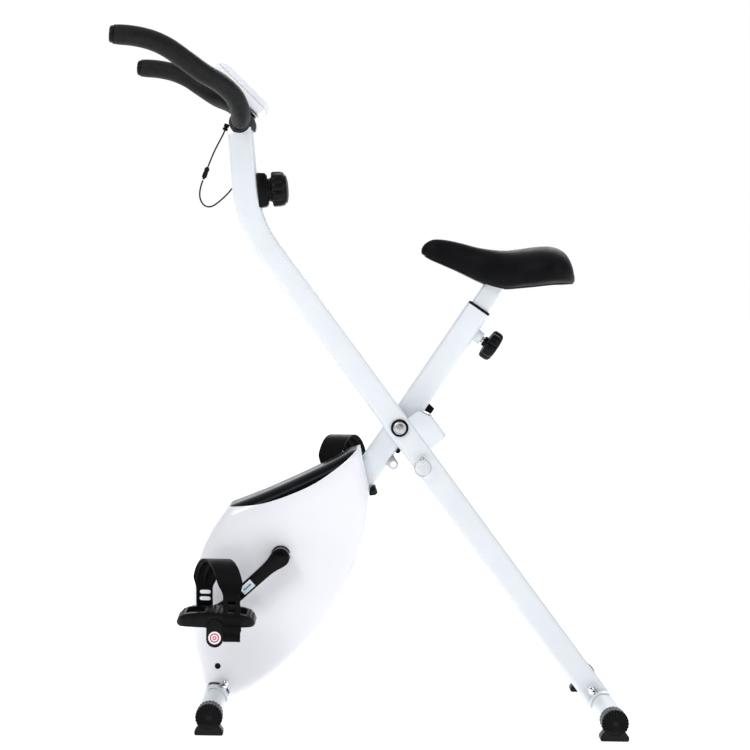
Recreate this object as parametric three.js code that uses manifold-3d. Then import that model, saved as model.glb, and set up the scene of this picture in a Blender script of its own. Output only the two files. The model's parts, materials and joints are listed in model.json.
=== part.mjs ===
// Folding exercise bike: an X frame of two square tubes crossed side by side, with a belt drive in a
// white casing on the front leg, a saddle on a telescopic post and a curved handlebar.
// Millimetres, +Z up. +X points to the rear, +Y to the rider's right, and the feet stand on Z = 0.
import * as THREE from "three";
import { mergeVertices } from "three/addons/utils/BufferGeometryUtils.js";
import Module from "manifold-3d";

const wasm = await Module();
wasm.setup();

// ---- Driving dimensions ----
const GAP = 0.3; // kept between touching pieces
const TUBE = 40; // main square tubes
const TUBE_CORNER = 8;
const TUBE_WALL = 1.5;
const FRONT_Y = 0; // plane of the front leg, saddle and drive
const REAR_Y = -41; // plane of the rear leg and handlebar post
const BETWEEN_Y = (FRONT_Y + REAR_Y) / 2;
const THROUGH = 150; // a cut from -THROUGH to THROUGH in Y passes both tubes and the casing
const PIVOT = [52, 462];
const FRONT_FOOT = [-236, 28];
const REAR_FOOT = [381, 28];
const BEND_UP = 409; // from the pivot to the corner of the post's bend, along the tube
const HANDLE = [-210, 945];
const CRANK = [-134, 257];
const CRANK_LENGTH = 130;
const CRANK_DIP = 42.5; // degrees that the left arm points below straight ahead
const FOOT_RADIUS = 19;
const FOOT_HALF = 215;
const SEAT_POST = 30;
const SEAT_POST_CORNER = 4.5;
const CASING_HALF = 60;
const CASING_WALL = 2.5;
const FLYWHEEL_UP_LEG = 134.5; // from the front foot's axis to the flywheel's, along the leg
const FLYWHEEL_RADIUS = 60;
const FLYWHEEL_AXLE = 5;
const FLYWHEEL_BORE = FLYWHEEL_AXLE + GAP;
const DRIVE_RADIUS = 70;
const DRIVEN_RADIUS = 14;
const LOCK_RADIUS = 62; // fold lock's pin and lug, from the pivot
const LUG_ANGLE = 26.3; // degrees from the front leg to the lug, about the pivot

// ---- Colours and finishes ----
const WHITE_PAINT = { color: 0xe9edf1, roughness: 0.35, metalness: 0.1 };
const WHITE_PLASTIC = { color: 0xf0eff3, roughness: 0.25, metalness: 0 };
const BLACK_PLASTIC = { color: 0x17171a, roughness: 0.5, metalness: 0 };
const BLACK_GLOSS = { color: 0x0d0d10, roughness: 0.2, metalness: 0 };
const BLACK_FOAM = { color: 0x121214, roughness: 0.85, metalness: 0 };
const BLACK_RUBBER = { color: 0x141416, roughness: 0.75, metalness: 0 };
const BLACK_PAINT = { color: 0x131316, roughness: 0.3, metalness: 0.3 };
const STEEL = { color: 0xa9adb2, roughness: 0.35, metalness: 1 };
const CHROME = { color: 0xd5d8dc, roughness: 0.12, metalness: 1 };
const CAST_IRON = { color: 0x3a3b3e, roughness: 0.6, metalness: 0.8 };

const bike = new THREE.Group();
const Y_AXIS = new THREE.Vector3(0, 1, 0);

// ---- Solids from three.js geometry ----
// A closed geometry as a solid for joining and cutting, turned right side out.
function solid(geometry) {
  const bare = geometry.clone();
  bare.deleteAttribute("normal");
  bare.deleteAttribute("uv");
  const merged = mergeVertices(bare, 1e-4);
  const corners = merged.index.array;
  const triangles = [];
  for (let i = 0; i < corners.length; i += 3) {
    const [a, b, c] = [corners[i], corners[i + 1], corners[i + 2]];
    if (a !== b && b !== c && c !== a) triangles.push(a, b, c);
  }
  const build = (list) =>
    new wasm.Manifold(
      new wasm.Mesh({
        numProp: 3,
        vertProperties: merged.getAttribute("position").array,
        triVerts: Uint32Array.from(list),
      }),
    );
  const made = build(triangles);
  return made.volume() > 0 ? made : build(triangles.reverse());
}

const join = (...solids) => solids.reduce((whole, one) => whole.add(one));
const cut = (whole, ...tools) => tools.reduce((left, tool) => left.subtract(tool), whole);

// Adds one named piece, made of a solid, to the bike or to a placed group inside it.
function piece(name, made, look, parent = bike) {
  const { vertProperties, triVerts } = made.getMesh();
  const geometry = new THREE.BufferGeometry();
  geometry.setAttribute("position", new THREE.BufferAttribute(new Float32Array(vertProperties), 3));
  geometry.setIndex(new THREE.BufferAttribute(new Uint32Array(triVerts), 1));
  geometry.computeVertexNormals();
  const mesh = new THREE.Mesh(geometry, new THREE.MeshStandardMaterial(look));
  mesh.name = name;
  parent.add(mesh);
  return mesh;
}

function placed(x, y, z) {
  const group = new THREE.Group();
  group.position.set(x, y, z);
  bike.add(group);
  return group;
}

const outline = (points) => new THREE.Shape(points.map(([x, y]) => new THREE.Vector2(x, y)));

function roundedRectangle(width, height, corner) {
  const [x, y] = [width / 2 - corner, height / 2 - corner];
  const shape = new THREE.Shape();
  shape.absarc(x, y, corner, 0, Math.PI / 2);
  shape.absarc(-x, y, corner, Math.PI / 2, Math.PI);
  shape.absarc(-x, -y, corner, Math.PI, 1.5 * Math.PI);
  shape.absarc(x, -y, corner, 1.5 * Math.PI, 2 * Math.PI);
  return shape;
}

// A round-ended slot outline between two centres.
function obround([x1, y1], [x2, y2], radius) {
  const heading = Math.atan2(y2 - y1, x2 - x1);
  const shape = new THREE.Shape();
  shape.absarc(x2, y2, radius, heading - Math.PI / 2, heading + Math.PI / 2);
  shape.absarc(x1, y1, radius, heading + Math.PI / 2, heading + 1.5 * Math.PI);
  return shape;
}

// A side-view outline (X, Z) made solid between two values of Y.
function slab(shape, yLow, yHigh, options = {}) {
  const bevel = options.bevelThickness ?? 0;
  const geometry = new THREE.ExtrudeGeometry(shape, {
    depth: yHigh - yLow - 2 * bevel,
    bevelEnabled: bevel > 0,
    curveSegments: 4,
    ...options,
  });
  geometry.rotateX(Math.PI / 2).translate(0, yHigh - bevel, 0);
  return solid(geometry);
}

// A straight bar of the given section; the section's first axis lies along Y.
function beam(shape, from, to, curveSegments = 1) {
  const depth = from.distanceTo(to);
  const geometry = new THREE.ExtrudeGeometry(shape, { depth, bevelEnabled: false, curveSegments });
  const along = to.clone().sub(from).normalize();
  const basis = new THREE.Matrix4().makeBasis(Y_AXIS, along.clone().cross(Y_AXIS), along);
  return solid(geometry.applyMatrix4(basis.setPosition(from)));
}

// A turned piece: profile points are [radius, height] and height runs along the given direction.
function turned(profile, origin, direction, sides = 20) {
  const points = profile.map(([radius, height]) => new THREE.Vector2(radius, height));
  const geometry = new THREE.LatheGeometry(points, sides);
  geometry.applyQuaternion(new THREE.Quaternion().setFromUnitVectors(Y_AXIS, direction.clone().normalize()));
  return solid(geometry.translate(origin.x, origin.y, origin.z));
}

const pin = (radius, from, to, sides = 16) =>
  turned(
    [
      [0, 0],
      [radius, 0],
      [radius, from.distanceTo(to)],
      [0, from.distanceTo(to)],
    ],
    from,
    to.clone().sub(from),
    sides,
  );

// A round bar along Y, centred on a point of the side view.
const crossPin = (radius, [x, z], yLow, yHigh, sides = 20) =>
  pin(radius, new THREE.Vector3(x, yLow, z), new THREE.Vector3(x, yHigh, z), sides);

const throughHole = (radius, at, sides = 16) => crossPin(radius, at, -THROUGH, THROUGH, sides);

const ring = (outer, inner, at, yLow, yHigh, sides = 24) =>
  cut(crossPin(outer, at, yLow, yHigh, sides), crossPin(inner, at, yLow - 1, yHigh + 1, sides));

// A path through given points, with one ring of a swept tube at each.
class Route extends THREE.Curve {
  constructor(points) {
    super();
    this.points = points;
  }
  getPoint(t, target = new THREE.Vector3()) {
    const last = this.points.length - 1;
    const at = Math.min(Math.floor(t * last + 1e-9), last - 1);
    return target.lerpVectors(this.points[at], this.points[at + 1], t * last - at);
  }
  getSpacedPoints() {
    return this.points;
  }
  getTangentAt(t, target = new THREE.Vector3()) {
    const last = this.points.length - 1;
    const at = Math.round(t * last);
    const before = this.points[Math.max(at - 1, 0)];
    return target.subVectors(this.points[Math.min(at + 1, last)], before).normalize();
  }
}

function swept(shape, points, curveSegments = 1) {
  const extrudePath = new Route(points);
  const steps = points.length - 1;
  return solid(new THREE.ExtrudeGeometry(shape, { extrudePath, steps, curveSegments }));
}

function circle(radius, inner = 0) {
  const shape = new THREE.Shape().absarc(0, 0, radius, 0, 2 * Math.PI);
  if (inner > 0) shape.holes.push(new THREE.Path().absarc(0, 0, inner, 0, 2 * Math.PI));
  return shape;
}

function squareSection(size, corner, wall = 0) {
  const shape = roundedRectangle(size, size, corner);
  if (wall > 0) shape.holes.push(roundedRectangle(size - 2 * wall, size - 2 * wall, corner - wall));
  return shape;
}

// ---- Directions and points on the two main tubes ----
function lineFrame([x, z], [dx, dz]) {
  const length = Math.hypot(dx, dz);
  const [ux, uz] = [dx / length, dz / length];
  return {
    along: new THREE.Vector3(ux, 0, uz),
    across: new THREE.Vector3(uz, 0, -ux), // to the rear and down
    flat: (p, q) => [x + p * ux + q * uz, z + p * uz - q * ux],
    at: (p, q, y) => new THREE.Vector3(x + p * ux + q * uz, y, z + p * uz - q * ux),
  };
}

const seatLine = lineFrame(PIVOT, [PIVOT[0] - FRONT_FOOT[0], PIVOT[1] - FRONT_FOOT[1]]);
const postLine = lineFrame(PIVOT, [PIVOT[0] - REAR_FOOT[0], PIVOT[1] - REAR_FOOT[1]]);
const POST_BEND = postLine.flat(BEND_UP, 0);
const topLine = lineFrame(HANDLE, [HANDLE[0] - POST_BEND[0], HANDLE[1] - POST_BEND[1]]);
const FRONT_LEG = Math.hypot(PIVOT[0] - FRONT_FOOT[0], PIVOT[1] - FRONT_FOOT[1]);
const FRONT_LOW = FRONT_Y - TUBE / 2;
const FRONT_HIGH = FRONT_Y + TUBE / 2;
const REAR_LOW = REAR_Y - TUBE / 2;
const REAR_HIGH = REAR_Y + TUBE / 2;

// ---- Feet ----
const BRACKET_THICK = 2.5;
const BRACKET_HALF = 61;
const BRACKET_SPREAD = 62; // degrees each side of the leg
const CAP_DEPTH = 28;
const CAP_END = 3.5; // thickness of its closed end
const NUT_YS = [BETWEEN_Y - 48.5, BETWEEN_Y + 48.5];
const NUT_RADIUS = 7;
const BOLT_RADIUS = 4;
const bracketOuter = FOOT_RADIUS + GAP + BRACKET_THICK;

// Holes for the two bolts that hold a foot tube to its bracket.
function boltHoles(at, line) {
  return NUT_YS.map((y) => {
    const centre = new THREE.Vector3(at[0], y, at[1]);
    return pin(BOLT_RADIUS + GAP, centre, centre.clone().addScaledVector(line.along, 40), 10);
  });
}

function legBracket(at, line) {
  const up = Math.atan2(line.along.z, line.along.x);
  const spread = THREE.MathUtils.degToRad(BRACKET_SPREAD);
  const shape = new THREE.Shape();
  shape.absarc(at[0], at[1], bracketOuter, up - spread, up + spread);
  shape.absarc(at[0], at[1], FOOT_RADIUS + GAP, up + spread, up - spread, true);
  const plate = slab(shape, BETWEEN_Y - BRACKET_HALF, BETWEEN_Y + BRACKET_HALF, { curveSegments: 6 });
  return cut(plate, ...boltHoles(at, line));
}

// A domed nut on its bolt, which goes through the bracket and the top of the foot tube.
function footNut(line) {
  const base = bracketOuter + GAP;
  const profile = [
    [0, FOOT_RADIUS - 6],
    [BOLT_RADIUS, FOOT_RADIUS - 6],
    [BOLT_RADIUS, base],
    [NUT_RADIUS, base],
    [NUT_RADIUS, base + 1.6],
    [6.4, base + 1.6],
    [6.4, base + 9],
    [5.4, base + 12.6],
    [3, base + 15.2],
    [0, base + 16],
  ];
  return turned(profile, new THREE.Vector3(), line.along, 10);
}

function footTube(at, line) {
  const section = circle(FOOT_RADIUS, FOOT_RADIUS - TUBE_WALL);
  const end = FOOT_HALF - CAP_END - GAP;
  const tube = solid(
    new THREE.ExtrudeGeometry(section, { depth: 2 * end, bevelEnabled: false, curveSegments: 8 })
      .rotateX(Math.PI / 2)
      .translate(at[0], end, at[1]),
  );
  return cut(tube, ...boltHoles(at, line));
}

// End cap of a foot tube, with the block that stands on the floor; it opens towards +Y.
const CAP_RADIUS = 21;
const PAD_HALF = 22;
const PAD_HEIGHT = 11;
function endCap() {
  const body = join(
    crossPin(CAP_RADIUS, [0, FRONT_FOOT[1]], 0, CAP_DEPTH, 24),
    slab(
      outline([
        [-PAD_HALF, 2],
        [-PAD_HALF + 2, 0],
        [PAD_HALF - 2, 0],
        [PAD_HALF, 2],
        [PAD_HALF - 3, PAD_HEIGHT],
        [CAP_RADIUS - 5, PAD_HEIGHT + 8],
        [5 - CAP_RADIUS, PAD_HEIGHT + 8],
        [3 - PAD_HALF, PAD_HEIGHT],
      ]),
      0,
      CAP_DEPTH,
    ),
  );
  return cut(body, crossPin(FOOT_RADIUS + GAP, [0, FRONT_FOOT[1]], CAP_END, CAP_DEPTH + 1, 24));
}

for (const [end, at, line] of [
  ["front", FRONT_FOOT, seatLine],
  ["rear", REAR_FOOT, postLine],
]) {
  piece(`${end}_foot_bracket`, legBracket(at, line), WHITE_PAINT);
  piece(`${end}_foot_tube`, footTube(at, line), WHITE_PAINT);
  for (const [side, sign] of [
    ["left", -1],
    ["right", 1],
  ]) {
    const nutY = sign < 0 ? NUT_YS[0] : NUT_YS[1];
    piece(`${end}_foot_nut_${side}`, footNut(line), CHROME, placed(at[0], nutY, at[1]));
    const cap = placed(at[0], sign * FOOT_HALF, 0);
    cap.rotation.z = sign < 0 ? 0 : Math.PI;
    piece(`${end}_end_cap_${side}`, endCap(), BLACK_PLASTIC, cap);
  }
}

// ---- Front leg and seat tube ----
const SEAT_TUBE_TOP = 228; // from the pivot, along the tube
const KNOB_UP = 192;
const BOSS_RADIUS = 11;
const BOSS_END = 31;
const KNOB_NECK = 35.7;
const PIN_RADIUS = 4;
const PIVOT_RADIUS = 5;
const LUG_HOLE = 4.8;
const LUG_RADIUS = 8.5;
const knobSide = (out) => seatLine.at(KNOB_UP, out, FRONT_Y); // a point of the height pin's axis
const flywheelAt = seatLine.flat(FLYWHEEL_UP_LEG - FRONT_LEG, 0);
const lugTurn = THREE.MathUtils.degToRad(LUG_ANGLE);
const lugAt = seatLine.flat(-LOCK_RADIUS * Math.cos(lugTurn), LOCK_RADIUS * Math.sin(lugTurn));

function seatTube() {
  const wallMiddle = TUBE / 2 - TUBE_WALL / 2;
  const tube = beam(
    squareSection(TUBE, TUBE_CORNER, TUBE_WALL),
    seatLine.at(-FRONT_LEG + 8, 0, FRONT_Y),
    seatLine.at(SEAT_TUBE_TOP, 0, FRONT_Y),
  );
  const boss = pin(BOSS_RADIUS, knobSide(wallMiddle), knobSide(BOSS_END), 16);
  const lugRoot = seatLine.flat(-LOCK_RADIUS * Math.cos(lugTurn) + 2, wallMiddle);
  const lug = slab(obround(lugRoot, lugAt, LUG_RADIUS), FRONT_LOW + 1, FRONT_LOW + 6, { curveSegments: 5 });
  return cut(
    join(tube, boss, lug),
    throughHole(bracketOuter + GAP, FRONT_FOOT, 32),
    pin(PIN_RADIUS + GAP, knobSide(0), knobSide(60), 12),
    throughHole(PIVOT_RADIUS + GAP, PIVOT),
    throughHole(LUG_HOLE, lugAt, 12),
    throughHole(FLYWHEEL_BORE, flywheelAt, 12),
  );
}
piece("seat_tube", seatTube(), WHITE_PAINT);

const COLLAR_HEIGHT = 4.5;
function seatCollar() {
  const bottom = SEAT_TUBE_TOP + GAP;
  const sleeve = beam(
    squareSection(TUBE - 2 * TUBE_WALL - 0.6, TUBE_CORNER - 2, 0),
    seatLine.at(SEAT_TUBE_TOP - 30, 0, FRONT_Y),
    seatLine.at(bottom + 1, 0, FRONT_Y),
  );
  const lip = beam(
    squareSection(TUBE - 1.5, TUBE_CORNER, 0),
    seatLine.at(bottom, 0, FRONT_Y),
    seatLine.at(bottom + COLLAR_HEIGHT, 0, FRONT_Y),
  );
  const bore = beam(
    squareSection(SEAT_POST + 2 * GAP, 5, 0),
    seatLine.at(SEAT_TUBE_TOP - 40, 0, FRONT_Y),
    seatLine.at(bottom + COLLAR_HEIGHT + 5, 0, FRONT_Y),
  );
  return cut(join(sleeve, lip), bore, pin(PIN_RADIUS + GAP, knobSide(0), knobSide(60), 12));
}
piece("seat_collar", seatCollar(), BLACK_PLASTIC);

// Rubber stops on the tube's rear face: one meets the bracket when open, one the rear leg when folded.
const bumper = (low, high, height, yLow, yHigh) =>
  slab(
    outline([
      seatLine.flat(low, TUBE / 2 + GAP),
      seatLine.flat(low + 2, TUBE / 2 + height),
      seatLine.flat(high - 2, TUBE / 2 + height),
      seatLine.flat(high, TUBE / 2 + GAP),
    ]),
    yLow,
    yHigh,
  );
piece("open_stop_bumper", bumper(44, 58, 12, FRONT_Y - 10, FRONT_Y + 10), BLACK_RUBBER);
piece("fold_stop_bumper", bumper(-112, -101, 5.5, FRONT_LOW - 9, FRONT_Y), BLACK_RUBBER);

// ---- Rear leg and handlebar post ----
const BEND_RUN = 56; // from the bend's corner to where each straight stretch starts
const vector = ([x, z], y) => new THREE.Vector3(x, y, z);

function postRoute() {
  const corner = vector(POST_BEND, REAR_Y);
  const bend = new THREE.QuadraticBezierCurve3(
    corner.clone().addScaledVector(postLine.along, -BEND_RUN),
    corner,
    corner.clone().addScaledVector(topLine.along, BEND_RUN),
  );
  const low = vector(REAR_FOOT, REAR_Y).addScaledVector(postLine.along, 8);
  return [low, ...bend.getPoints(6), vector(HANDLE, REAR_Y).addScaledVector(topLine.along, -4)];
}

const postSolid = swept(squareSection(TUBE + 2 * GAP, TUBE_CORNER), postRoute());
const lockAt = postLine.flat(-LOCK_RADIUS, 0);
const HANDLE_RADIUS = 12.5;
const CLAMP_RADIUS = 17.2;
const CABLE_HOLE = 2.2;
const postMouth = outline([
  topLine.flat(-17, -30),
  topLine.flat(-17, -12),
  topLine.flat(-9, 12),
  topLine.flat(-9, 30),
  topLine.flat(40, 30),
  topLine.flat(40, -30),
]);

function postTube() {
  const tube = swept(squareSection(TUBE, TUBE_CORNER, TUBE_WALL), postRoute());
  const cableSide = (out) => topLine.at(-106, out, REAR_Y);
  const lockGuide = crossPin(7.5, lockAt, REAR_LOW - 6, REAR_LOW + 1, 16);
  return cut(
    join(tube, lockGuide),
    throughHole(bracketOuter + GAP, REAR_FOOT, 32),
    slab(postMouth, REAR_LOW - 1, REAR_HIGH + 1),
    throughHole(CLAMP_RADIUS + GAP, HANDLE, 28),
    throughHole(PIVOT_RADIUS + GAP, PIVOT),
    throughHole(PIN_RADIUS + GAP, lockAt, 12),
    pin(CABLE_HOLE, cableSide(-24), cableSide(-14), 8),
  );
}
piece("post_tube", postTube(), WHITE_PAINT);

// Channel round the seat tube: it carries the far end of the pivot bolt.
const WEB = 53; // web's outer face, from the rear leg's centre
const WEB_TOP = -14.5;
const WEB_LOW = -53;
const PLATE = 3.2;
function crossBracket() {
  const at = postLine.flat;
  const webCorner = [at(4, 40), at(WEB_TOP, 50), at(WEB_TOP, WEB), at(WEB_LOW, WEB)];
  const nearPlate = slab(
    outline([at(4, TUBE / 2 + GAP), ...webCorner, at(-56, TUBE / 2 + GAP)]),
    REAR_LOW + 3,
    REAR_LOW + 3 + PLATE,
  );
  const web = slab(
    outline([at(WEB_TOP, WEB - PLATE), at(WEB_TOP, WEB), at(WEB_LOW, WEB), at(WEB_LOW, WEB - PLATE)]),
    REAR_LOW + 3,
    FRONT_HIGH + 1 + PLATE,
  );
  const farPlate = slab(
    outline([at(14, -12), at(14, 12), ...webCorner, at(-56, 16), at(-20, -18), at(4, -18)]),
    FRONT_HIGH + 1,
    FRONT_HIGH + 1 + PLATE,
  );
  return cut(join(nearPlate, web, farPlate), throughHole(PIVOT_RADIUS + GAP, PIVOT));
}
piece("u_bracket", crossBracket(), WHITE_PAINT);

// Pivot bolt: button head on the near side, shaft through both tubes, nut past the bracket.
const HEAD_Y = REAR_LOW - GAP;
const boltFar = FRONT_HIGH + 1 + PLATE + GAP;
function pivotBolt() {
  const head = turned(
    [
      [0, -1],
      [12.5, -1],
      [14, 1],
      [14, 4],
      [12, 6],
      [0, 6.4],
    ],
    new THREE.Vector3(PIVOT[0], HEAD_Y - 1, PIVOT[1]),
    new THREE.Vector3(0, -1, 0),
    24,
  );
  const shaft = crossPin(PIVOT_RADIUS, PIVOT, HEAD_Y - 1, boltFar + 12, 16);
  const nut = crossPin(9, PIVOT, boltFar, boltFar + 8, 6);
  return join(head, shaft, nut);
}
piece("pivot_bolt", pivotBolt(), STEEL);

// ---- Fold lock: pull pin and its ring ----
const PIN_EYE_Y = REAR_LOW - 12;
const RING_RADIUS = 13;
const RING_WIRE = 1;
const RING_HOLE = 2.2;
function lockPin() {
  const shaft = crossPin(PIN_RADIUS, lockAt, PIN_EYE_Y - 4, REAR_HIGH - 0.4, 14);
  const beside = (x) => new THREE.Vector3(lockAt[0] + x, PIN_EYE_Y, lockAt[1]);
  return cut(shaft, pin(RING_HOLE, beside(-8), beside(8), 10));
}
piece("lock_pin", lockPin(), STEEL);
piece(
  "pull_ring",
  solid(new THREE.TorusGeometry(RING_RADIUS, RING_WIRE, 6, 20).rotateX(Math.PI / 2)),
  CHROME,
  placed(lockAt[0], PIN_EYE_Y, lockAt[1] - RING_RADIUS),
);

// ---- Handlebar ----
const GRIP_RADIUS = 15.5;
const armPoints = [
  [-210, -60, 945],
  [-207, -86, 950],
  [-207.5, -110, 961],
  [-216, -137, 979],
  [-235, -166, 995],
  [-261, -196, 1008],
  [-288, -213, 1026],
  [-314, -221, 1043],
  [-338, -225, 1053],
  [-365, -228, 1058.5],
  [-397, -230, 1060.5],
].map(([x, y, z]) => new THREE.Vector3(x, y, z));
const ARM_STEPS = 12;
const mirrored = (points) => points.map((p) => new THREE.Vector3(p.x, -p.y, p.z));

// The left arm from a share of its length to its end, in even steps.
function armRoute(from, steps) {
  const curve = new THREE.CatmullRomCurve3(armPoints, false, "centripetal");
  return Array.from({ length: steps + 1 }, (_, i) => curve.getPointAt(from + ((1 - from) * i) / steps));
}

const leftArm = armRoute(0, ARM_STEPS);
piece(
  "handlebar",
  swept(circle(HANDLE_RADIUS, HANDLE_RADIUS - TUBE_WALL), [...leftArm.toReversed(), ...mirrored(leftArm)], 6),
  BLACK_PAINT,
);

// Foam sleeve with a closed outer end.
function grip(side) {
  const along = side < 0 ? armRoute : (from, steps) => mirrored(armRoute(from, steps));
  const route = along(0.035, ARM_STEPS);
  const [before, last] = route.slice(-2);
  const outward = last.clone().sub(before).normalize();
  const end = last.clone().addScaledVector(outward, 4);
  const core = [...along(0, ARM_STEPS), last.clone().addScaledVector(outward, GAP)];
  return cut(swept(circle(GRIP_RADIUS), [...route, end], 6), swept(circle(HANDLE_RADIUS + 2 * GAP), core, 6));
}
piece("grip_left", grip(-1), BLACK_FOAM);
piece("grip_right", grip(1), BLACK_FOAM);

// Clamp that holds the bar down in the top of the post.
const clampTrim = outline([
  [-240, 900],
  [-211, 900],
  [-190, 918],
  [-170, 924],
  [-170, 928],
  [-198, 934],
  [-214, 946],
  [-221, 948],
  [-221, 952],
  [-240, 952],
]);
piece(
  "clamp_cover",
  cut(
    join(
      cut(
        crossPin(20, [HANDLE[0] + 6, HANDLE[1] - 5], REAR_LOW + 2, REAR_HIGH - 2, 28),
        cut(postSolid, slab(postMouth, REAR_LOW - 1, REAR_HIGH + 1)),
        slab(clampTrim, REAR_LOW, REAR_HIGH),
      ),
      crossPin(CLAMP_RADIUS, HANDLE, REAR_LOW + 2, REAR_HIGH - 2, 28),
    ),
    throughHole(HANDLE_RADIUS + GAP, HANDLE, 28),
  ),
  BLACK_PLASTIC,
);

// ---- Console ----
const CONSOLE_HALF = 48;
const consoleLine = lineFrame([-211, 1005], [1, -1]);
const consoleAt = (u, v) => consoleLine.flat(u, -v); // u runs down the face, v out of it
const consoleOutline = outline(
  [
    [-34, 10.1],
    [-43.6, 6.7],
    [-49.5, -2],
    [-47.5, -8.5],
    [-38, -11.5],
    [30, -13],
    [53, -12.8],
    [56.5, 1],
    [50, 12.6],
  ].map(([u, v]) => consoleAt(u, v)),
);
const BUTTON_U = 16;
const buttonWay = (radius, low, high) =>
  pin(radius, vector(consoleAt(BUTTON_U, low), 0), vector(consoleAt(BUTTON_U, high), 0), 14);
piece(
  "console",
  cut(
    slab(consoleOutline, -CONSOLE_HALF, CONSOLE_HALF, {
      bevelThickness: 3,
      bevelSize: 2.2,
      bevelOffset: -2.2,
      bevelSegments: 2,
    }),
    buttonWay(6.3, 6.5, 20),
  ),
  WHITE_PLASTIC,
);
piece("console_button", buttonWay(6, 8.6, 12.8), BLACK_PLASTIC);
const consoleFoot = outline([
  [-186, 958.2],
  [-194, 951.5],
  [-202, 950],
  [-222, 960],
  [-226, 984],
  [-221, 993.5],
]);
const aboveConsoleBack = outline(
  [
    [-60, -13.3],
    [70, -13.3],
    [70, 30],
    [-60, 30],
  ].map(([u, v]) => consoleAt(u, v)),
);
piece(
  "console_bracket",
  cut(
    slab(consoleFoot, -15, 15),
    throughHole(HANDLE_RADIUS + GAP, HANDLE, 24),
    slab(aboveConsoleBack, -CONSOLE_HALF, CONSOLE_HALF),
  ),
  BLACK_PLASTIC,
);

// ---- Tension adjuster on the rear face of the post ----
const TENSION_DOWN = -110.5;
const tensionAt = (out, y = REAR_Y) => topLine.at(TENSION_DOWN, TUBE / 2 + out, y);
const tensionBlock = (low, high, near, far, halfWidth) =>
  slab(
    outline([
      topLine.flat(TENSION_DOWN + low, TUBE / 2 + near),
      topLine.flat(TENSION_DOWN + high, TUBE / 2 + near),
      topLine.flat(TENSION_DOWN + high, TUBE / 2 + far),
      topLine.flat(TENSION_DOWN + low, TUBE / 2 + far),
    ]),
    REAR_Y - halfWidth,
    REAR_Y + halfWidth,
  );
piece(
  "tension_base",
  cut(
    join(tensionBlock(-28, 28, GAP, 15, 19), pin(20, tensionAt(14), tensionAt(22), 24)),
    postSolid,
    pin(4.3, tensionAt(10), tensionAt(30), 12),
  ),
  BLACK_PLASTIC,
);
piece(
  "tension_knob",
  turned(
    [
      [0, 12],
      [4, 12],
      [4, 22.5],
      [27, 22.5],
      [28.5, 25],
      [28.5, 40],
      [26, 46],
      [12, 49],
      [0, 49],
    ],
    tensionAt(0),
    topLine.across,
    24,
  ),
  BLACK_PLASTIC,
);

// ---- Sensor lead from the bar's grommet, through an in-line plug, into the post ----
const LEAD_RADIUS = 1.25;
const upperLead = [
  [-233.6, 934.5],
  [-236, 928],
  [-239.5, 921],
  [-244, 912],
  [-248.5, 903],
  [-252.5, 894],
  [-256.5, 884],
  [-260, 875],
];
const lowerLead = [
  [-268, 852.5],
  [-270.5, 845],
  [-272.3, 837],
  [-272.8, 829],
  [-271.3, 821],
  [-267, 814],
  [-260.5, 810.3],
  [-253, 811],
  [-246, 815.2],
  [-239, 821],
  [-232, 827.5],
  [-226, 834],
  [-221.5, 840],
];
const lead = (points) =>
  swept(
    circle(LEAD_RADIUS),
    points.map((at) => vector(at, REAR_Y)),
    4,
  );
piece("sensor_lead_upper", lead(upperLead), BLACK_RUBBER);
piece("sensor_lead_lower", lead(lowerLead), BLACK_RUBBER);
const plugTop = vector(upperLead.at(-1), REAR_Y);
const plugEnd = vector(lowerLead[0], REAR_Y);
piece(
  "lead_plug",
  turned(
    [
      [0, 0.5],
      [2, 0.5],
      [3.6, 3],
      [3.6, 19],
      [2, 22.5],
      [0, 22.5],
    ],
    plugTop,
    plugEnd.clone().sub(plugTop),
    10,
  ),
  BLACK_PLASTIC,
);
piece(
  "lead_grommet",
  cut(
    pin(4.2, vector([HANDLE[0] - 8, HANDLE[1] - 4], REAR_Y), vector([-234, 935.2], REAR_Y), 12),
    throughHole(CLAMP_RADIUS + GAP, HANDLE, 28),
    postSolid,
    throughHole(LEAD_RADIUS * 2, upperLead[0], 12),
  ),
  BLACK_RUBBER,
);

// ---- Saddle, its post and the height knob ----
const POST_LOW = 28;
const POST_HIGH = 262;
piece(
  "seat_post",
  beam(
    squareSection(SEAT_POST, SEAT_POST_CORNER, TUBE_WALL),
    seatLine.at(POST_LOW, 0, FRONT_Y),
    seatLine.at(POST_HIGH, 0, FRONT_Y),
  ),
  WHITE_PAINT,
);

// Cross-sections of the cushion from nose to back: X, top, bottom edge and half width.
const saddleStations = [
  [85.5, 750, 741, 6],
  [90, 757, 738, 11.5],
  [102, 764.3, 731, 16.5],
  [120, 764.8, 723.3, 19.3],
  [146, 760.4, 712, 24],
  [177, 753, 697.5, 34],
  [200, 750.2, 688.5, 50],
  [222, 749.4, 685, 68],
  [245, 752.4, 687, 84],
  [267, 755.7, 689.5, 94],
  [286, 756.7, 692, 97],
  [301, 754, 693.5, 93],
  [314, 746, 694, 82],
  [323.5, 731, 695, 66],
  [328.5, 714, 697, 45],
];
const SADDLE_RING = 16;

// One cross-section: a flattened dome above the widest line and a tucked edge below it.
function saddleRing([x, top, bottom, half]) {
  const widest = bottom + 0.42 * (top - bottom);
  return Array.from({ length: SADDLE_RING }, (_, i) => {
    const turn = (2 * Math.PI * i) / SADDLE_RING;
    const [side, rise] = [Math.cos(turn), Math.sin(turn)];
    const spread = Math.sign(side) * Math.abs(side) ** 0.75;
    const above = rise ** 0.9 * (top - widest);
    const below = Math.abs(rise) ** 0.7 * (widest - bottom);
    const z = rise >= 0 ? widest + above : widest - below;
    return new THREE.Vector3(x, FRONT_Y + half * spread * (rise < 0 ? 1 + 0.12 * rise : 1), z);
  });
}

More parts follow.
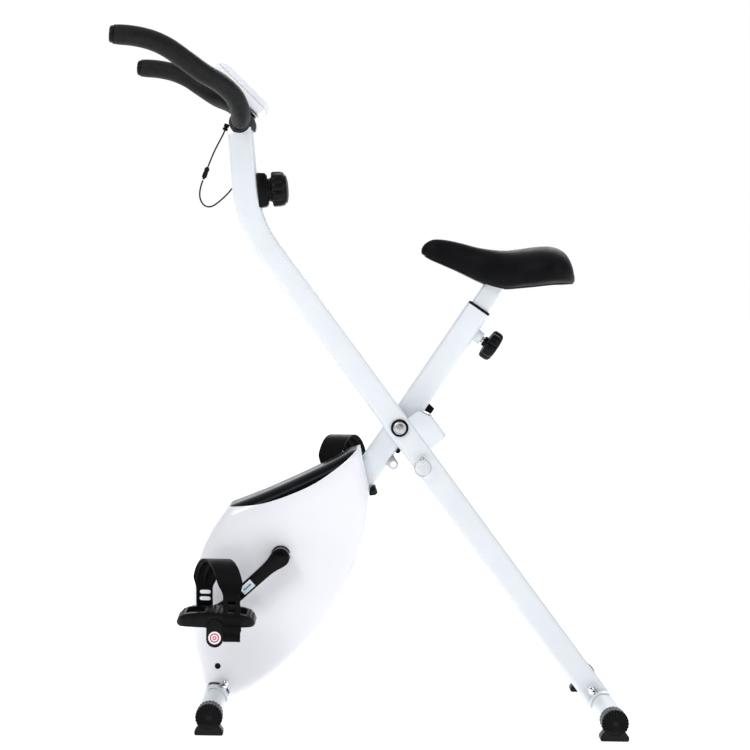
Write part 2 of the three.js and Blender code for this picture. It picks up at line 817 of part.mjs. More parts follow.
// A closed skin over rings of equal counts, each end closed to its middle.
function loft(rings) {
  const count = rings[0].length;
  const centre = (points) => points.reduce((sum, p) => sum.add(p), new THREE.Vector3()).divideScalar(count);
  const points = [...rings.flat(), centre(rings[0]), centre(rings.at(-1))];
  const faces = [];
  const first = rings.length * count;
  const lastRing = (rings.length - 1) * count;
  for (let i = 0; i < count; i += 1) {
    const next = (i + 1) % count;
    for (let r = 0; r < lastRing; r += count) {
      faces.push(r + i, r + next, r + count + i, r + next, r + count + next, r + count + i);
    }
    faces.push(first, next, i, first + 1, lastRing + i, lastRing + next);
  }
  const geometry = new THREE.BufferGeometry().setFromPoints(points);
  geometry.setIndex(faces);
  return solid(geometry);
}
const PLATE_U = POST_HIGH + GAP;
const cushion = loft(saddleStations.map(saddleRing));
const plateZone = slab(
  outline([
    [176, 640],
    [262, 640],
    [262, 694],
    [238, 697],
    [190, 703],
    [176, 703],
  ]),
  FRONT_Y - 32,
  FRONT_Y + 32,
);
piece("saddle", cut(cushion, plateZone), BLACK_GLOSS);

// Steel plate that caps the post and screws to the underside of the saddle.
function saddlePlate() {
  const plate = slab(
    outline([
      [180, 699.2],
      [190, 702.3],
      [238, 696.3],
      [258, 693.8],
      [258, 690.8],
      [238, 693.3],
      [190, 699.3],
      [180, 696.2],
    ]),
    FRONT_Y - 28,
    FRONT_Y + 28,
  );
  const stub = beam(
    squareSection(SEAT_POST, SEAT_POST_CORNER),
    seatLine.at(PLATE_U, 0, FRONT_Y),
    seatLine.at(PLATE_U + 40, 0, FRONT_Y),
  );
  const below = slab(
    outline([
      [150, 600],
      [280, 600],
      [280, 688],
      [258, 691.5],
      [238, 694.3],
      [190, 700.3],
      [150, 700],
    ]),
    -40,
    80,
  );
  return join(plate, stub.intersect(below));
}
piece("saddle_plate", saddlePlate(), STEEL);

piece(
  "seat_pin",
  turned(
    [
      [0, SEAT_POST / 2 + 0.5],
      [3, SEAT_POST / 2 + 0.5],
      [PIN_RADIUS, SEAT_POST / 2 + 1.5],
      [PIN_RADIUS, BOSS_END + 1],
      [6, BOSS_END + 1],
      [6, KNOB_NECK - GAP],
      [0, KNOB_NECK - GAP],
    ],
    seatLine.at(KNOB_UP, 0, FRONT_Y),
    seatLine.across,
    14,
  ),
  STEEL,
);
piece(
  "seat_knob",
  turned(
    [
      [0, KNOB_NECK],
      [9, KNOB_NECK],
      [10, 40.5],
      [22.5, 40.5],
      [25, 43],
      [25, 56.5],
      [22, 60.5],
      [8, 61.5],
      [0, 61.5],
    ],
    seatLine.at(KNOB_UP, 0, FRONT_Y),
    seatLine.across,
    20,
  ),
  BLACK_PLASTIC,
);

// ---- Casing ----
// The whole closed body, rounded to the sides; the black cover is what lies above the edge line.
const frontEdge = [
  [-220, 330],
  [-248, 287],
  [-266.5, 240],
  [-274.5, 190],
  [-275.5, 145],
  [-270, 102],
  [-258, 60],
  [-253, 31],
];
const bottomEdge = [
  [-207, 26.5],
  [-185, 34],
  [-150, 57],
  [-105, 97],
  [-65, 142],
  [-31, 200],
  [-7.5, 257],
  [4.5, 310],
  [5.5, 360],
  [-2, 395],
  [-9, 428],
];
const crown = [
  [-24, 423.5],
  [-61, 402.5],
  [-121, 373],
  [-163, 354],
  [-196, 340.5],
];
const coverLine = [
  [-222, 331],
  [-190, 334],
  [-162, 338.8],
  [-120, 353.3],
  [-84, 370.3],
  [-55, 389.8],
  [-31, 409.5],
  [-10, 431.5],
];
const casingOutline = [...frontEdge, ...bottomEdge, ...crown];
const CASING_MIDDLE = [-130, 215];
const CASING_HALF_WIDTH = 105; // about the distance from that middle to the rim

// Half widths, each with the share of the full outline that the body has there.
const casingProfile = [
  [CASING_HALF, 0.88],
  [CASING_HALF - 3, 0.93],
  [CASING_HALF - 10, 0.975],
  [CASING_HALF - 22, 1],
];
function casingBody(inset) {
  const rings = [...casingProfile, ...casingProfile.toReversed().map(([y, share]) => [-y, share])];
  return loft(
    rings.map(([y, share]) => {
      const scale = share * (1 - inset / CASING_HALF_WIDTH);
      return casingOutline.map(
        ([x, z]) =>
          new THREE.Vector3(
            CASING_MIDDLE[0] + (x - CASING_MIDDLE[0]) * scale,
            FRONT_Y + y * (1 - inset / CASING_HALF),
            CASING_MIDDLE[1] + (z - CASING_MIDDLE[1]) * scale,
          ),
      );
    }),
  );
}
const aboveLine = (shift) =>
  slab(
    outline([...coverLine.map(([x, z]) => [x, z + shift]), [40, 520], [-300, 520], [-300, 330 + shift]]),
    -THROUGH,
    THROUGH,
  );
const HOLE_RADIUS = 15.5;
const casingShell = cut(
  casingBody(0),
  casingBody(CASING_WALL),
  aboveLine(-GAP / 2),
  throughHole(bracketOuter + 3.5, FRONT_FOOT, 32),
  throughHole(HOLE_RADIUS, CRANK, 24),
  beam(squareSection(TUBE + 2, TUBE_CORNER), seatLine.at(-600, 0, FRONT_Y), seatLine.at(200, 0, FRONT_Y)),
);
const casingLeft = casingShell.trimByPlane([0, -1, 0], GAP / 2 - FRONT_Y);
const casingRight = casingShell.trimByPlane([0, 1, 0], FRONT_Y + GAP / 2);
piece("casing_left", casingLeft, WHITE_PLASTIC);
piece("casing_right", casingRight, WHITE_PLASTIC);
piece(
  "casing_top_cover",
  cut(casingBody(0), casingBody(CASING_WALL)).intersect(aboveLine(GAP / 2)),
  BLACK_GLOSS,
);

// ---- Crank housing, bearings and axle ----
const SHELL_RADIUS = 21;
const SHELL_LOW = FRONT_Y - 34;
const SHELL_HIGH = FRONT_Y + 21;
const BEARING_RADIUS = 17.5;
const BEARING_WIDTH = 10;
const AXLE_RADIUS = 8;
const clearOfLeg = beam(
  squareSection(TUBE + 2 * GAP, TUBE_CORNER),
  seatLine.at(-600, 0, FRONT_Y),
  seatLine.at(200, 0, FRONT_Y),
);
piece(
  "crank_housing",
  cut(
    crossPin(SHELL_RADIUS + 1, CRANK, SHELL_LOW, SHELL_HIGH, 28),
    crossPin(BEARING_RADIUS + GAP, CRANK, SHELL_LOW - 1, SHELL_HIGH + 1, 28),
    clearOfLeg,
  ),
  STEEL,
);
const bearing = (low, high) => ring(BEARING_RADIUS, AXLE_RADIUS + GAP, CRANK, low, high);
piece("crank_bearing_left", bearing(SHELL_LOW, SHELL_LOW + BEARING_WIDTH), CHROME);
piece("crank_bearing_right", bearing(SHELL_HIGH - BEARING_WIDTH, SHELL_HIGH), CHROME);
const HUB_IN = 64; // arms, from the drive's plane
const ARM_IN = 83;
const ARM_OUT = 98;
piece("crank_axle", crossPin(AXLE_RADIUS, CRANK, FRONT_Y - ARM_OUT + 4, FRONT_Y + ARM_OUT - 4, 16), STEEL);

const BELT_LOW = FRONT_HIGH + 4;
const BELT_HIGH = BELT_LOW + 8;
const WINDOW_REACH = 42; // from the crank's axis to each window of the pulley
const spokes = Array.from({ length: 4 }, (_, i) => {
  const turn = (2 * Math.PI * i) / 4;
  const centre = [CRANK[0] + WINDOW_REACH * Math.cos(turn), CRANK[1] + WINDOW_REACH * Math.sin(turn)];
  return crossPin(15, centre, BELT_LOW - 1, BELT_HIGH + 1, 10);
});
piece(
  "drive_pulley",
  cut(ring(DRIVE_RADIUS, AXLE_RADIUS + GAP, CRANK, BELT_LOW, BELT_HIGH, 28), ...spokes),
  BLACK_PLASTIC,
);

// ---- Flywheel, belt and magnetic brake ----
const beltHeading = Math.atan2(flywheelAt[1] - CRANK[1], flywheelAt[0] - CRANK[0]);
const beltReach = Math.hypot(flywheelAt[1] - CRANK[1], flywheelAt[0] - CRANK[0]);
function beltLoop(offset) {
  const lean = Math.acos((DRIVE_RADIUS - DRIVEN_RADIUS) / beltReach);
  const shape = new THREE.Shape();
  shape.absarc(...CRANK, DRIVE_RADIUS + offset, beltHeading + lean, beltHeading - lean + 2 * Math.PI);
  shape.absarc(...flywheelAt, DRIVEN_RADIUS + offset, beltHeading - lean, beltHeading + lean);
  return shape;
}
piece(
  "drive_belt",
  cut(
    slab(beltLoop(3.2), BELT_LOW + 0.5, BELT_HIGH - 0.5, { curveSegments: 10 }),
    slab(beltLoop(0.8), BELT_LOW - 1, BELT_HIGH + 1, { curveSegments: 10 }),
  ),
  BLACK_RUBBER,
);
const WHEEL_LOW = BELT_HIGH + 2;
const WHEEL_HIGH = WHEEL_LOW + 14;
piece(
  "flywheel",
  cut(
    join(
      crossPin(FLYWHEEL_RADIUS, flywheelAt, WHEEL_LOW, WHEEL_HIGH, 28),
      crossPin(DRIVEN_RADIUS, flywheelAt, BELT_LOW - 1, WHEEL_LOW + 1, 16),
    ),
    throughHole(FLYWHEEL_BORE, flywheelAt),
  ),
  CAST_IRON,
);
piece(
  "flywheel_axle",
  join(
    crossPin(FLYWHEEL_AXLE, flywheelAt, FRONT_LOW - 4, WHEEL_HIGH + 5, 14),
    crossPin(8, flywheelAt, FRONT_LOW - 7, FRONT_LOW - GAP, 6),
  ),
  STEEL,
);

const STAY_TURN = THREE.MathUtils.degToRad(200);
const STAY_RADIUS = 76;
const STAY_PIN = 4;
const stayAt = [
  flywheelAt[0] + STAY_RADIUS * Math.cos(STAY_TURN),
  flywheelAt[1] + STAY_RADIUS * Math.sin(STAY_TURN),
];
piece(
  "magnet_stay",
  cut(
    join(
      slab(obround(stayAt, flywheelAt, 9), FRONT_HIGH + GAP, FRONT_HIGH + 2.8),
      crossPin(STAY_PIN, stayAt, FRONT_HIGH + 1, WHEEL_HIGH + 4, 12),
    ),
    throughHole(FLYWHEEL_BORE, flywheelAt, 14),
  ),
  STEEL,
);
function magnetBracket() {
  const arc = new THREE.Shape();
  const [low, high] = [THREE.MathUtils.degToRad(105), THREE.MathUtils.degToRad(198)];
  arc.absarc(...flywheelAt, FLYWHEEL_RADIUS + 15, low, high);
  arc.absarc(...flywheelAt, FLYWHEEL_RADIUS + 8, high, low, true);
  return cut(
    join(
      slab(arc, WHEEL_LOW + 1, WHEEL_HIGH - 1, { curveSegments: 8 }),
      crossPin(8, stayAt, WHEEL_LOW + 1, WHEEL_HIGH - 1, 16),
    ),
    throughHole(STAY_PIN + GAP, stayAt, 12),
  );
}
piece("magnet_bracket", magnetBracket(), STEEL);

// ---- Crank arms, pedals and straps ----
const dip = THREE.MathUtils.degToRad(CRANK_DIP);
const SPINDLE_RADIUS = 6;
const PEDAL_IN = 110;
const PEDAL_OUT = 195;

// A span of Y given by distances from the drive's plane, on one side of it.
const span = (side, near, far) => {
  const ends = [FRONT_Y + side * near, FRONT_Y + side * far];
  return [Math.min(...ends), Math.max(...ends)];
};

function crankArm(side, end) {
  const arm = slab(obround(CRANK, end, 9.5), ...span(side, ARM_IN, ARM_OUT), {
    bevelThickness: 3,
    bevelSize: 3,
    bevelOffset: -3,
    bevelSegments: 1,
  });
  const hub = crossPin(14.5, CRANK, ...span(side, HUB_IN, ARM_OUT + 1), 18);
  const eye = crossPin(12, end, ...span(side, ARM_IN - 1, ARM_OUT), 16);
  return cut(
    join(arm, hub, eye),
    crossPin(AXLE_RADIUS + GAP, CRANK, ...span(side, HUB_IN - 5, ARM_OUT - 3), 16),
    crossPin(SPINDLE_RADIUS + GAP, end, ...span(side, ARM_IN - 5, ARM_OUT + 5), 16),
  );
}

const platform = outline([
  [-60, -2],
  [-55, 8],
  [-40, 13.5],
  [-14, 15],
  [20, 15],
  [44, 12],
  [57, 6],
  [61, -3],
  [55, -7],
  [16, -8],
  [-16, -8],
  [-54, -7],
]);

// The pedal about its spindle: a platform with two windows and a weight that keeps it level.
function pedalBody(side) {
  const windows = [
    [-46, -17],
    [17, 47],
  ].map(([low, high]) =>
    slab(
      outline([[low, -20], [high, -20], [high, 30], [low, 30]]),
      ...localSpan(side, PEDAL_IN + 14, PEDAL_OUT - 14),
    ),
  );
  const deck = cut(slab(platform, ...localSpan(side, PEDAL_IN, PEDAL_OUT)), ...windows);
  const weight = slab(obround([0, -25], [0, -8], 13), ...localSpan(side, PEDAL_OUT - 16, PEDAL_OUT + 5), {
    curveSegments: 5,
  });
  const bore = crossPin(SPINDLE_RADIUS + GAP, [0, 0], ...localSpan(side, PEDAL_IN - 2, PEDAL_OUT - 6), 14);
  return cut(join(deck, weight), bore);
}
const localSpan = (side, near, far) => span(side, near, far).map((y) => y - FRONT_Y);

// Toe strap: an arch over the foot, its outer foot set further back than its inner one.
const STRAP_THICK = 2.6;
const STRAP_HALF = 13;
const STRAP_TOP = 92;
const ARCH_FOOT = 34; // where the straight legs turn into the arch
const STRAP_INNER_X = -20;
const STRAP_OUTER_X = 27.5;
function toeStrap(side) {
  const inner = PEDAL_IN - 0.5;
  const outer = PEDAL_OUT + 0.5;
  const middle = (inner + outer) / 2;
  const reach = (outer - inner) / 2;
  const arch = (grow, from, to) =>
    Array.from({ length: 13 }, (_, i) => {
      const turn = from + ((to - from) * i) / 12;
      const across = middle + (reach + grow) * Math.cos(turn);
      return [side * across, ARCH_FOOT + (STRAP_TOP - STRAP_THICK - ARCH_FOOT + grow) * Math.sin(turn)];
    });
  const shape = outline([
    [side * (inner - STRAP_THICK), -6],
    ...arch(STRAP_THICK, Math.PI, 0),
    [side * (outer + STRAP_THICK), -29],
    [side * outer, -29],
    ...arch(0, 0, Math.PI),
    [side * inner, -6],
  ]);
  const geometry = new THREE.ExtrudeGeometry(shape, { depth: 2 * STRAP_HALF, bevelEnabled: false });
  const basis = new THREE.Matrix4().makeBasis(Y_AXIS, new THREE.Vector3(0, 0, 1), new THREE.Vector3(1, 0, 0));
  const lean = (STRAP_OUTER_X - STRAP_INNER_X) / (outer - inner); // the strap crosses the pedal on a slant
  const shear = new THREE.Matrix4().makeShear(0, 0, side * lean, 0, 0, 0);
  shear.setPosition(STRAP_INNER_X - lean * inner - STRAP_HALF, 0, 0);
  return solid(geometry.applyMatrix4(basis).applyMatrix4(shear));
}

for (const [name, side, heading] of [
  ["left", -1, Math.PI + dip],
  ["right", 1, dip],
]) {
  const end = [CRANK[0] + CRANK_LENGTH * Math.cos(heading), CRANK[1] + CRANK_LENGTH * Math.sin(heading)];
  piece(`crank_arm_${name}`, crankArm(side, end), BLACK_GLOSS);
  piece(
    `pedal_spindle_${name}`,
    join(
      crossPin(SPINDLE_RADIUS, end, ...span(side, ARM_IN + 2, PEDAL_OUT - 7), 14),
      crossPin(9, end, ...span(side, ARM_OUT + GAP, ARM_OUT + 4), 6),
    ),
    STEEL,
  );
  const pedal = placed(end[0], FRONT_Y, end[1]);
  piece(`pedal_${name}`, pedalBody(side), BLACK_PLASTIC, pedal);
  piece(`toe_strap_${name}`, toeStrap(side), BLACK_RUBBER, pedal);
}

export default bike;
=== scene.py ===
"""Looks of a folding exercise bike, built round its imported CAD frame.

Every piece is shaped in millimetres (x to the rear, y to the rider's right, z up) and turned into
metres when its mesh is made. Places come from the frame's joints and boxes.
"""
import json
import math

import bmesh
import bpy
from mathutils import Matrix, Vector


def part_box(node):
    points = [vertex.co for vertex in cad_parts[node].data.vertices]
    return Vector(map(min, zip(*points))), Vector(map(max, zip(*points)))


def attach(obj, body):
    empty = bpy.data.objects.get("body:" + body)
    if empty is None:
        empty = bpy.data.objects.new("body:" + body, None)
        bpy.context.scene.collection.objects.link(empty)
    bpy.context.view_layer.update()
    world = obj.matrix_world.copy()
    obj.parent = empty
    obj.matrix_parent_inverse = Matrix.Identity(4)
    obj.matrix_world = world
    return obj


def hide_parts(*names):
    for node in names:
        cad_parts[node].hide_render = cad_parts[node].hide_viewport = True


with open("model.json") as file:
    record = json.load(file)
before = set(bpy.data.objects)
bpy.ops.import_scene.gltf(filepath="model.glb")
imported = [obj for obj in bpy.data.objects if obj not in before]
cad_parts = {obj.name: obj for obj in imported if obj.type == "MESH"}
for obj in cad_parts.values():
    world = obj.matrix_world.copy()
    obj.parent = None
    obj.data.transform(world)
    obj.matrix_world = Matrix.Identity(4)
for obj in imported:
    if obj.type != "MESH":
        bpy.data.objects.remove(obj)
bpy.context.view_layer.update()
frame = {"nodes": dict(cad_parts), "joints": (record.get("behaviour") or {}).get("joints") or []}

MM = 0.001
JOINTS = {joint["name"]: joint for joint in frame["joints"]}
SIDES = (("left", -1), ("right", 1))


# ---------------------------------------------------------------- places taken from the frame
def vec(x, y, z):
    return Vector((x, y, z))


def joint_point(name):
    return Vector(JOINTS[name]["pos_m"]) / MM


def middle(node):
    low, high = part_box(node)
    return (low + high) / 2 / MM


class Line:
    """A tube's axis: p runs up along it, q across it to the rear and down, and y sideways."""

    def __init__(self, origin, along):
        self.origin = origin
        self.along = along.normalized()
        self.across = vec(self.along.z, 0, -self.along.x)

    def at(self, p, q=0, y=0):
        spot = self.origin + self.along * p + self.across * q
        return vec(spot.x, y, spot.z)

    def flat(self, p, q=0):
        spot = self.at(p, q)
        return (spot.x, spot.z)


PIVOT = joint_point("fold")
CRANK = joint_point("crank_spin")
FLYWHEEL = joint_point("flywheel_spin")
FRONT_Y = 0.0
REAR_Y = joint_point("tension_turn").y
FRONT_FOOT = middle("front_foot_tube")
REAR_FOOT = middle("rear_foot_tube")
seat_line = Line(PIVOT, Vector(JOINTS["seat_height"]["axis"]))
post_line = Line(PIVOT, PIVOT - REAR_FOOT)
HANDLE = vec(-210, 0, 945)
BEND_UP = 409
POST_BEND = post_line.at(BEND_UP)
top_line = Line(HANDLE, HANDLE - POST_BEND)
TUBE = 40
TUBE_CORNER = 8
GAP = 0.3


# ---------------------------------------------------------------- curves and outlines
def catmull(points, count):
    """count + 1 points, evenly spaced along a smooth centripetal curve through the given ones."""
    points = [Vector(p) for p in points]
    ends = [2 * points[0] - points[1]] + points + [2 * points[-1] - points[-2]]
    dense = []
    for a, b, c, d in zip(ends, ends[1:], ends[2:], ends[3:]):
        t1 = math.sqrt((b - a).length)
        t2 = t1 + math.sqrt((c - b).length)
        t3 = t2 + math.sqrt((d - c).length)
        for step in range(12):
            t = t1 + (t2 - t1) * step / 12
            ab = a * ((t1 - t) / t1) + b * (t / t1)
            bc = b * ((t2 - t) / (t2 - t1)) + c * ((t - t1) / (t2 - t1))
            cd = c * ((t3 - t) / (t3 - t2)) + d * ((t - t2) / (t3 - t2))
            abc = ab * ((t2 - t) / t2) + bc * (t / t2)
            bcd = bc * ((t3 - t) / (t3 - t1)) + cd * ((t - t1) / (t3 - t1))
            dense.append(abc * ((t2 - t) / (t2 - t1)) + bcd * ((t - t1) / (t2 - t1)))
    dense.append(points[-1])
    return spaced(dense, count)


def spaced(points, count):
    """count + 1 evenly spaced points along a chain of straight stretches."""
    reach = [0.0]
    for a, b in zip(points, points[1:]):
        reach.append(reach[-1] + (b - a).length)
    made = []
    i = 0
    for step in range(count + 1):
        want = reach[-1] * step / count
        while i < len(points) - 2 and reach[i + 1] < want:
            i += 1
        share = (want - reach[i]) / max(reach[i + 1] - reach[i], 1e-9)
        made.append(points[i].lerp(points[i + 1], min(share, 1)))
    return made


def arc(centre, radius, start, end, count):
    """Points of an arc in a flat outline, with angles in degrees."""
    turns = [math.radians(start + (end - start) * i / count) for i in range(count + 1)]
    return [(centre[0] + radius * math.cos(t), centre[1] + radius * math.sin(t)) for t in turns]


def rounded_square(size, corner, count=6):
    edge = size / 2 - corner
    points = []
    for quarter, (sx, sy) in enumerate(((1, 1), (-1, 1), (-1, -1), (1, -1))):
        points += arc((sx * edge, sy * edge), corner, 90 * quarter, 90 * quarter + 90, count)
    return points


def circle(radius, count=40):
    return arc((0, 0), radius, 0, 360 * (count - 1) / count, count - 1)


def obround(start, end, radius, count=12):
    heading = math.degrees(math.atan2(end[1] - start[1], end[0] - start[0]))
    far = arc(end, radius, heading - 90, heading + 90, count)
    return far + arc(start, radius, heading + 90, heading + 270, count)


# ---------------------------------------------------------------- meshes
def new_object(name, points, faces):
    mesh = bpy.data.meshes.new(name)
    mesh.from_pydata([tuple(p * MM) for p in points], [], faces)
    shape = bmesh.new()
    shape.from_mesh(mesh)
    bmesh.ops.remove_doubles(shape, verts=shape.verts, dist=5e-6)
    bmesh.ops.recalc_face_normals(shape, faces=shape.faces)
    shape.to_mesh(mesh)
    shape.free()
    obj = bpy.data.objects.new(name, mesh)
    bpy.context.scene.collection.objects.link(obj)
    return obj


def loft(name, rings, wrap=False):
    """A skin over rings of equal counts, with its ends closed, or joined when it wraps."""
    count = len(rings[0])
    faces = []
    for r in range(len(rings) if wrap else len(rings) - 1):
        near = r * count
        far = (r + 1) % len(rings) * count
        for i in range(count):
            after = (i + 1) % count
            faces.append((near + i, near + after, far + after, far + i))
    if not wrap:
        faces.append(tuple(reversed(range(count))))
        faces.append(tuple(range(len(rings) * count - count, len(rings) * count)))
    return new_object(name, [p for ring in rings for p in ring], faces)


def sweep(name, section, path, side=vec(0, 1, 0), scale=None):
    """A flat section carried along a path; its first axis starts along side and turns with the path."""
    rings = []
    for i, spot in enumerate(path):
        heading = (path[min(i + 1, len(path) - 1)] - path[max(i - 1, 0)]).normalized()
        side = (side - heading * side.dot(heading)).normalized()
        other = side.cross(heading)
        grow = scale(i / (len(path) - 1)) if scale else 1
        rings.append([spot + side * (u * grow) + other * (v * grow) for u, v in section])
    return loft(name, rings)


def lathe(name, profile, origin, direction, sides=48, wave=None):
    """A turned piece from (radius, height) points, a ring where they keep off the axis; wave gives a share
    to add to the radius, and a lift."""
    axis = direction.normalized()
    first = axis.cross(vec(0, 1, 0) if abs(axis.y) < 0.9 else vec(1, 0, 0)).normalized()
    second = axis.cross(first)
    rings = []
    for radius, height in profile:
        ring = []
        for i in range(sides):
            turn = 2 * math.pi * i / sides
            share, lift = wave(turn, radius, height) if wave else (0, 0)
            outward = first * math.cos(turn) + second * math.sin(turn)
            ring.append(origin + axis * (height + lift) + outward * (radius * (1 + share)))
        rings.append(ring)
    return loft(name, rings, wrap=profile[0][0] > 0 and profile[-1][0] > 0)


def prism(name, outline, low, high, edge=0.0, segments=3):
    """A side-view outline (x, z) made solid between two values of y, with rounded edges."""
    obj = loft(name, [[vec(x, y, z) for x, z in outline] for y in (low, high)])
    return bevel(obj, edge, segments) if edge else obj


def pin(name, radius, start, end, sides=40):
    return lathe(name, [(0, 0), (radius, 0), (radius, (end - start).length), (0, (end - start).length)],
                 start, end - start, sides)


def applied(obj):
    """Replaces an object's mesh by what its modifiers make of it."""
    bpy.context.view_layer.update()
    mesh = bpy.data.meshes.new_from_object(obj.evaluated_get(bpy.context.evaluated_depsgraph_get()))
    old = obj.data
    obj.modifiers.clear()
    obj.data = mesh
    bpy.data.meshes.remove(old)
    return obj


def bevel(obj, width, segments=3, angle=35):
    rounding = obj.modifiers.new("edges", "BEVEL")
    rounding.width = width * MM
    rounding.segments = segments
    rounding.limit_method = "ANGLE"
    rounding.angle_limit = math.radians(angle)
    return applied(obj)


def combine(obj, operation, *tools):
    for tool in tools:
        step = obj.modifiers.new("solid", "BOOLEAN")
        step.operation = operation
        step.solver = "EXACT"
        step.object = tool
        applied(obj)
        bpy.data.objects.remove(tool)
    return obj


def cut(obj, *tools):
    return combine(obj, "DIFFERENCE", *tools)


def merged(obj, *others):
    """One object out of several closed shells."""
    shape = bmesh.new()
    for each in (obj, *others):
        shape.from_mesh(each.data)
    shape.to_mesh(obj.data)
    shape.free()
    for each in others:
        bpy.data.objects.remove(each)
    return obj


def piece(obj, body, look, slot, *nodes, angle=32):
    """Finishes a piece: smooth shading, material, the body it rides on and the nodes it stands for."""
    obj.data.shade_smooth()
    obj.data.set_sharp_from_angle(angle=math.radians(angle))
    obj.data.materials.clear()
    obj.data.materials.append(look)
    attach(obj, body)
    if nodes:
        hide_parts(*nodes)
    return obj


# ---------------------------------------------------------------- materials
def ramped(nodes, links, factor, stops):
    """The colour that a ramp with these stops gives to the factor."""
    ramp = nodes.new("ShaderNodeValToRGB")
    while len(ramp.color_ramp.elements) < len(stops):
        ramp.color_ramp.elements.new(0.5)
    for element, (position, colour) in zip(ramp.color_ramp.elements, stops):
        element.position = position
        element.color = (*colour, 1)
    links.new(factor, ramp.inputs["Fac"])
    return ramp.outputs["Color"]


class Look:
    """A procedural material on a Principled shader, whose nodes read the object's own coordinates."""

    def __init__(self, name, **uniform):
        self.material = bpy.data.materials.new(name)
        self.material.use_nodes = True
        self.nodes = self.material.node_tree.nodes
        self.links = self.material.node_tree.links
        self.shader = self.nodes["Principled BSDF"]
        for socket, value in uniform.items():
            self.shader.inputs[socket.replace("_", " ")].default_value = value
        self.place = self.nodes.new("ShaderNodeTexCoord").outputs["Object"]

    def stretched(self, x, y, z):
        mapping = self.nodes.new("ShaderNodeMapping")
        mapping.inputs["Scale"].default_value = (x, y, z)
        self.links.new(self.place, mapping.inputs["Vector"])
        return mapping.outputs["Vector"]

    def noise(self, scale, detail=3.0, place=None):
        texture = self.nodes.new("ShaderNodeTexNoise")
        texture.inputs["Scale"].default_value = scale
        texture.inputs["Detail"].default_value = detail
        self.links.new(place or self.place, texture.inputs["Vector"])
        return texture.outputs["Fac"]

    def cells(self, scale, output="Distance"):
        texture = self.nodes.new("ShaderNodeTexVoronoi")
        texture.inputs["Scale"].default_value = scale
        self.links.new(self.place, texture.inputs["Vector"])
        return texture.outputs[output]

    def colours(self, factor, *stops):
        colour = ramped(self.nodes, self.links, factor, stops)
        self.links.new(colour, self.shader.inputs["Base Color"])
        return self

    def roughness(self, factor, low, high):
        spread = self.nodes.new("ShaderNodeMapRange")
        spread.inputs["To Min"].default_value = low
        spread.inputs["To Max"].default_value = high
        spread.inputs["From Min"].default_value = 0.3
        spread.inputs["From Max"].default_value = 0.7
        self.links.new(factor, spread.inputs["Value"])
        self.links.new(spread.outputs["Result"], self.shader.inputs["Roughness"])
        return self

    def bump(self, height, depth, strength=1.0):
        relief = self.nodes.new("ShaderNodeBump")
        relief.inputs["Distance"].default_value = depth * MM
        relief.inputs["Strength"].default_value = strength
        self.links.new(height, relief.inputs["Height"])
        below = self.shader.inputs["Normal"]
        if below.is_linked:
            self.links.new(below.links[0].from_socket, relief.inputs["Normal"])
        self.links.new(relief.outputs["Normal"], below)
        return self


def mixed(colour, share):
    return tuple(min(c * share, 1) for c in colour)


def white_paint():
    """Satin powder coat, with orange peel and a little unevenness."""
    look = Look("white powder coat", Coat_Weight=0.25, Coat_Roughness=0.15)
    tone = (0.735, 0.768, 0.800)
    look.colours(look.noise(9), (0.35, mixed(tone, 0.97)), (0.65, mixed(tone, 1.02)))
    look.roughness(look.noise(40), 0.30, 0.40)
    return look.bump(look.noise(900, 1), 0.006).bump(look.noise(2600, 1), 0.003).material


def white_plastic():
    """Gloss moulded shell with soft sink marks."""
    look = Look("white gloss plastic", Coat_Weight=0.4, Coat_Roughness=0.06)
    tone = (0.840, 0.835, 0.878)
    look.colours(look.noise(6), (0.35, mixed(tone, 0.98)), (0.65, mixed(tone, 1.01)))
    look.roughness(look.noise(25), 0.16, 0.24)
    return look.bump(look.noise(18, 1), 0.05).bump(look.noise(1400, 1), 0.002).material


def black_plastic(name="black moulded plastic", tone=0.003, rough=(0.28, 0.42), grain=1500, shine=0.12):
    """Fine spark-eroded grain with scuffed, slightly paler patches."""
    look = Look(name, Specular_IOR_Level=shine)
    dark = (tone, tone, tone * 1.12)
    look.colours(look.noise(60), (0.40, dark), (0.72, mixed(dark, 1.6)))
    look.roughness(look.noise(90), *rough)
    return look.bump(look.cells(grain), 0.03).bump(look.noise(grain * 2, 1), 0.008).material


def black_gloss():
    look = Look("black gloss plastic", Coat_Weight=0.02, Coat_Roughness=0.05, Specular_IOR_Level=0.05)
    look.colours(look.noise(30), (0.40, (0.003, 0.003, 0.004)), (0.70, (0.006, 0.006, 0.008)))
    look.roughness(look.noise(50), 0.12, 0.22)
    return look.bump(look.noise(30, 1), 0.05).bump(look.noise(2000, 1), 0.003).material


def black_paint():
    look = Look("black enamel", Coat_Weight=0.03, Coat_Roughness=0.1, Specular_IOR_Level=0.08)
    look.colours(look.noise(50), (0.40, (0.0018, 0.0018, 0.0022)), (0.75, (0.004, 0.004, 0.005)))
    look.roughness(look.noise(80), 0.22, 0.34)
    return look.bump(look.noise(900, 2), 0.02).material


def foam():
    """Closed-cell foam: small pits and a faint sheen."""
    look = Look("black foam", Specular_IOR_Level=0.18)
    look.colours(look.noise(80), (0.35, (0.004, 0.004, 0.0045)), (0.70, (0.007, 0.007, 0.0075)))
    look.roughness(look.noise(200), 0.44, 0.58)
    return look.bump(look.cells(900), 0.10).bump(look.noise(350, 3), 0.08).material


def rubber(name="black rubber", tone=0.0025):
    look = Look(name, Specular_IOR_Level=0.07)
    dark = (tone, tone, tone * 1.1)
    look.colours(look.noise(70), (0.38, dark), (0.74, mixed(dark, 1.8)))
    look.roughness(look.noise(110), 0.34, 0.50)
    return look.bump(look.noise(600, 3), 0.05).material


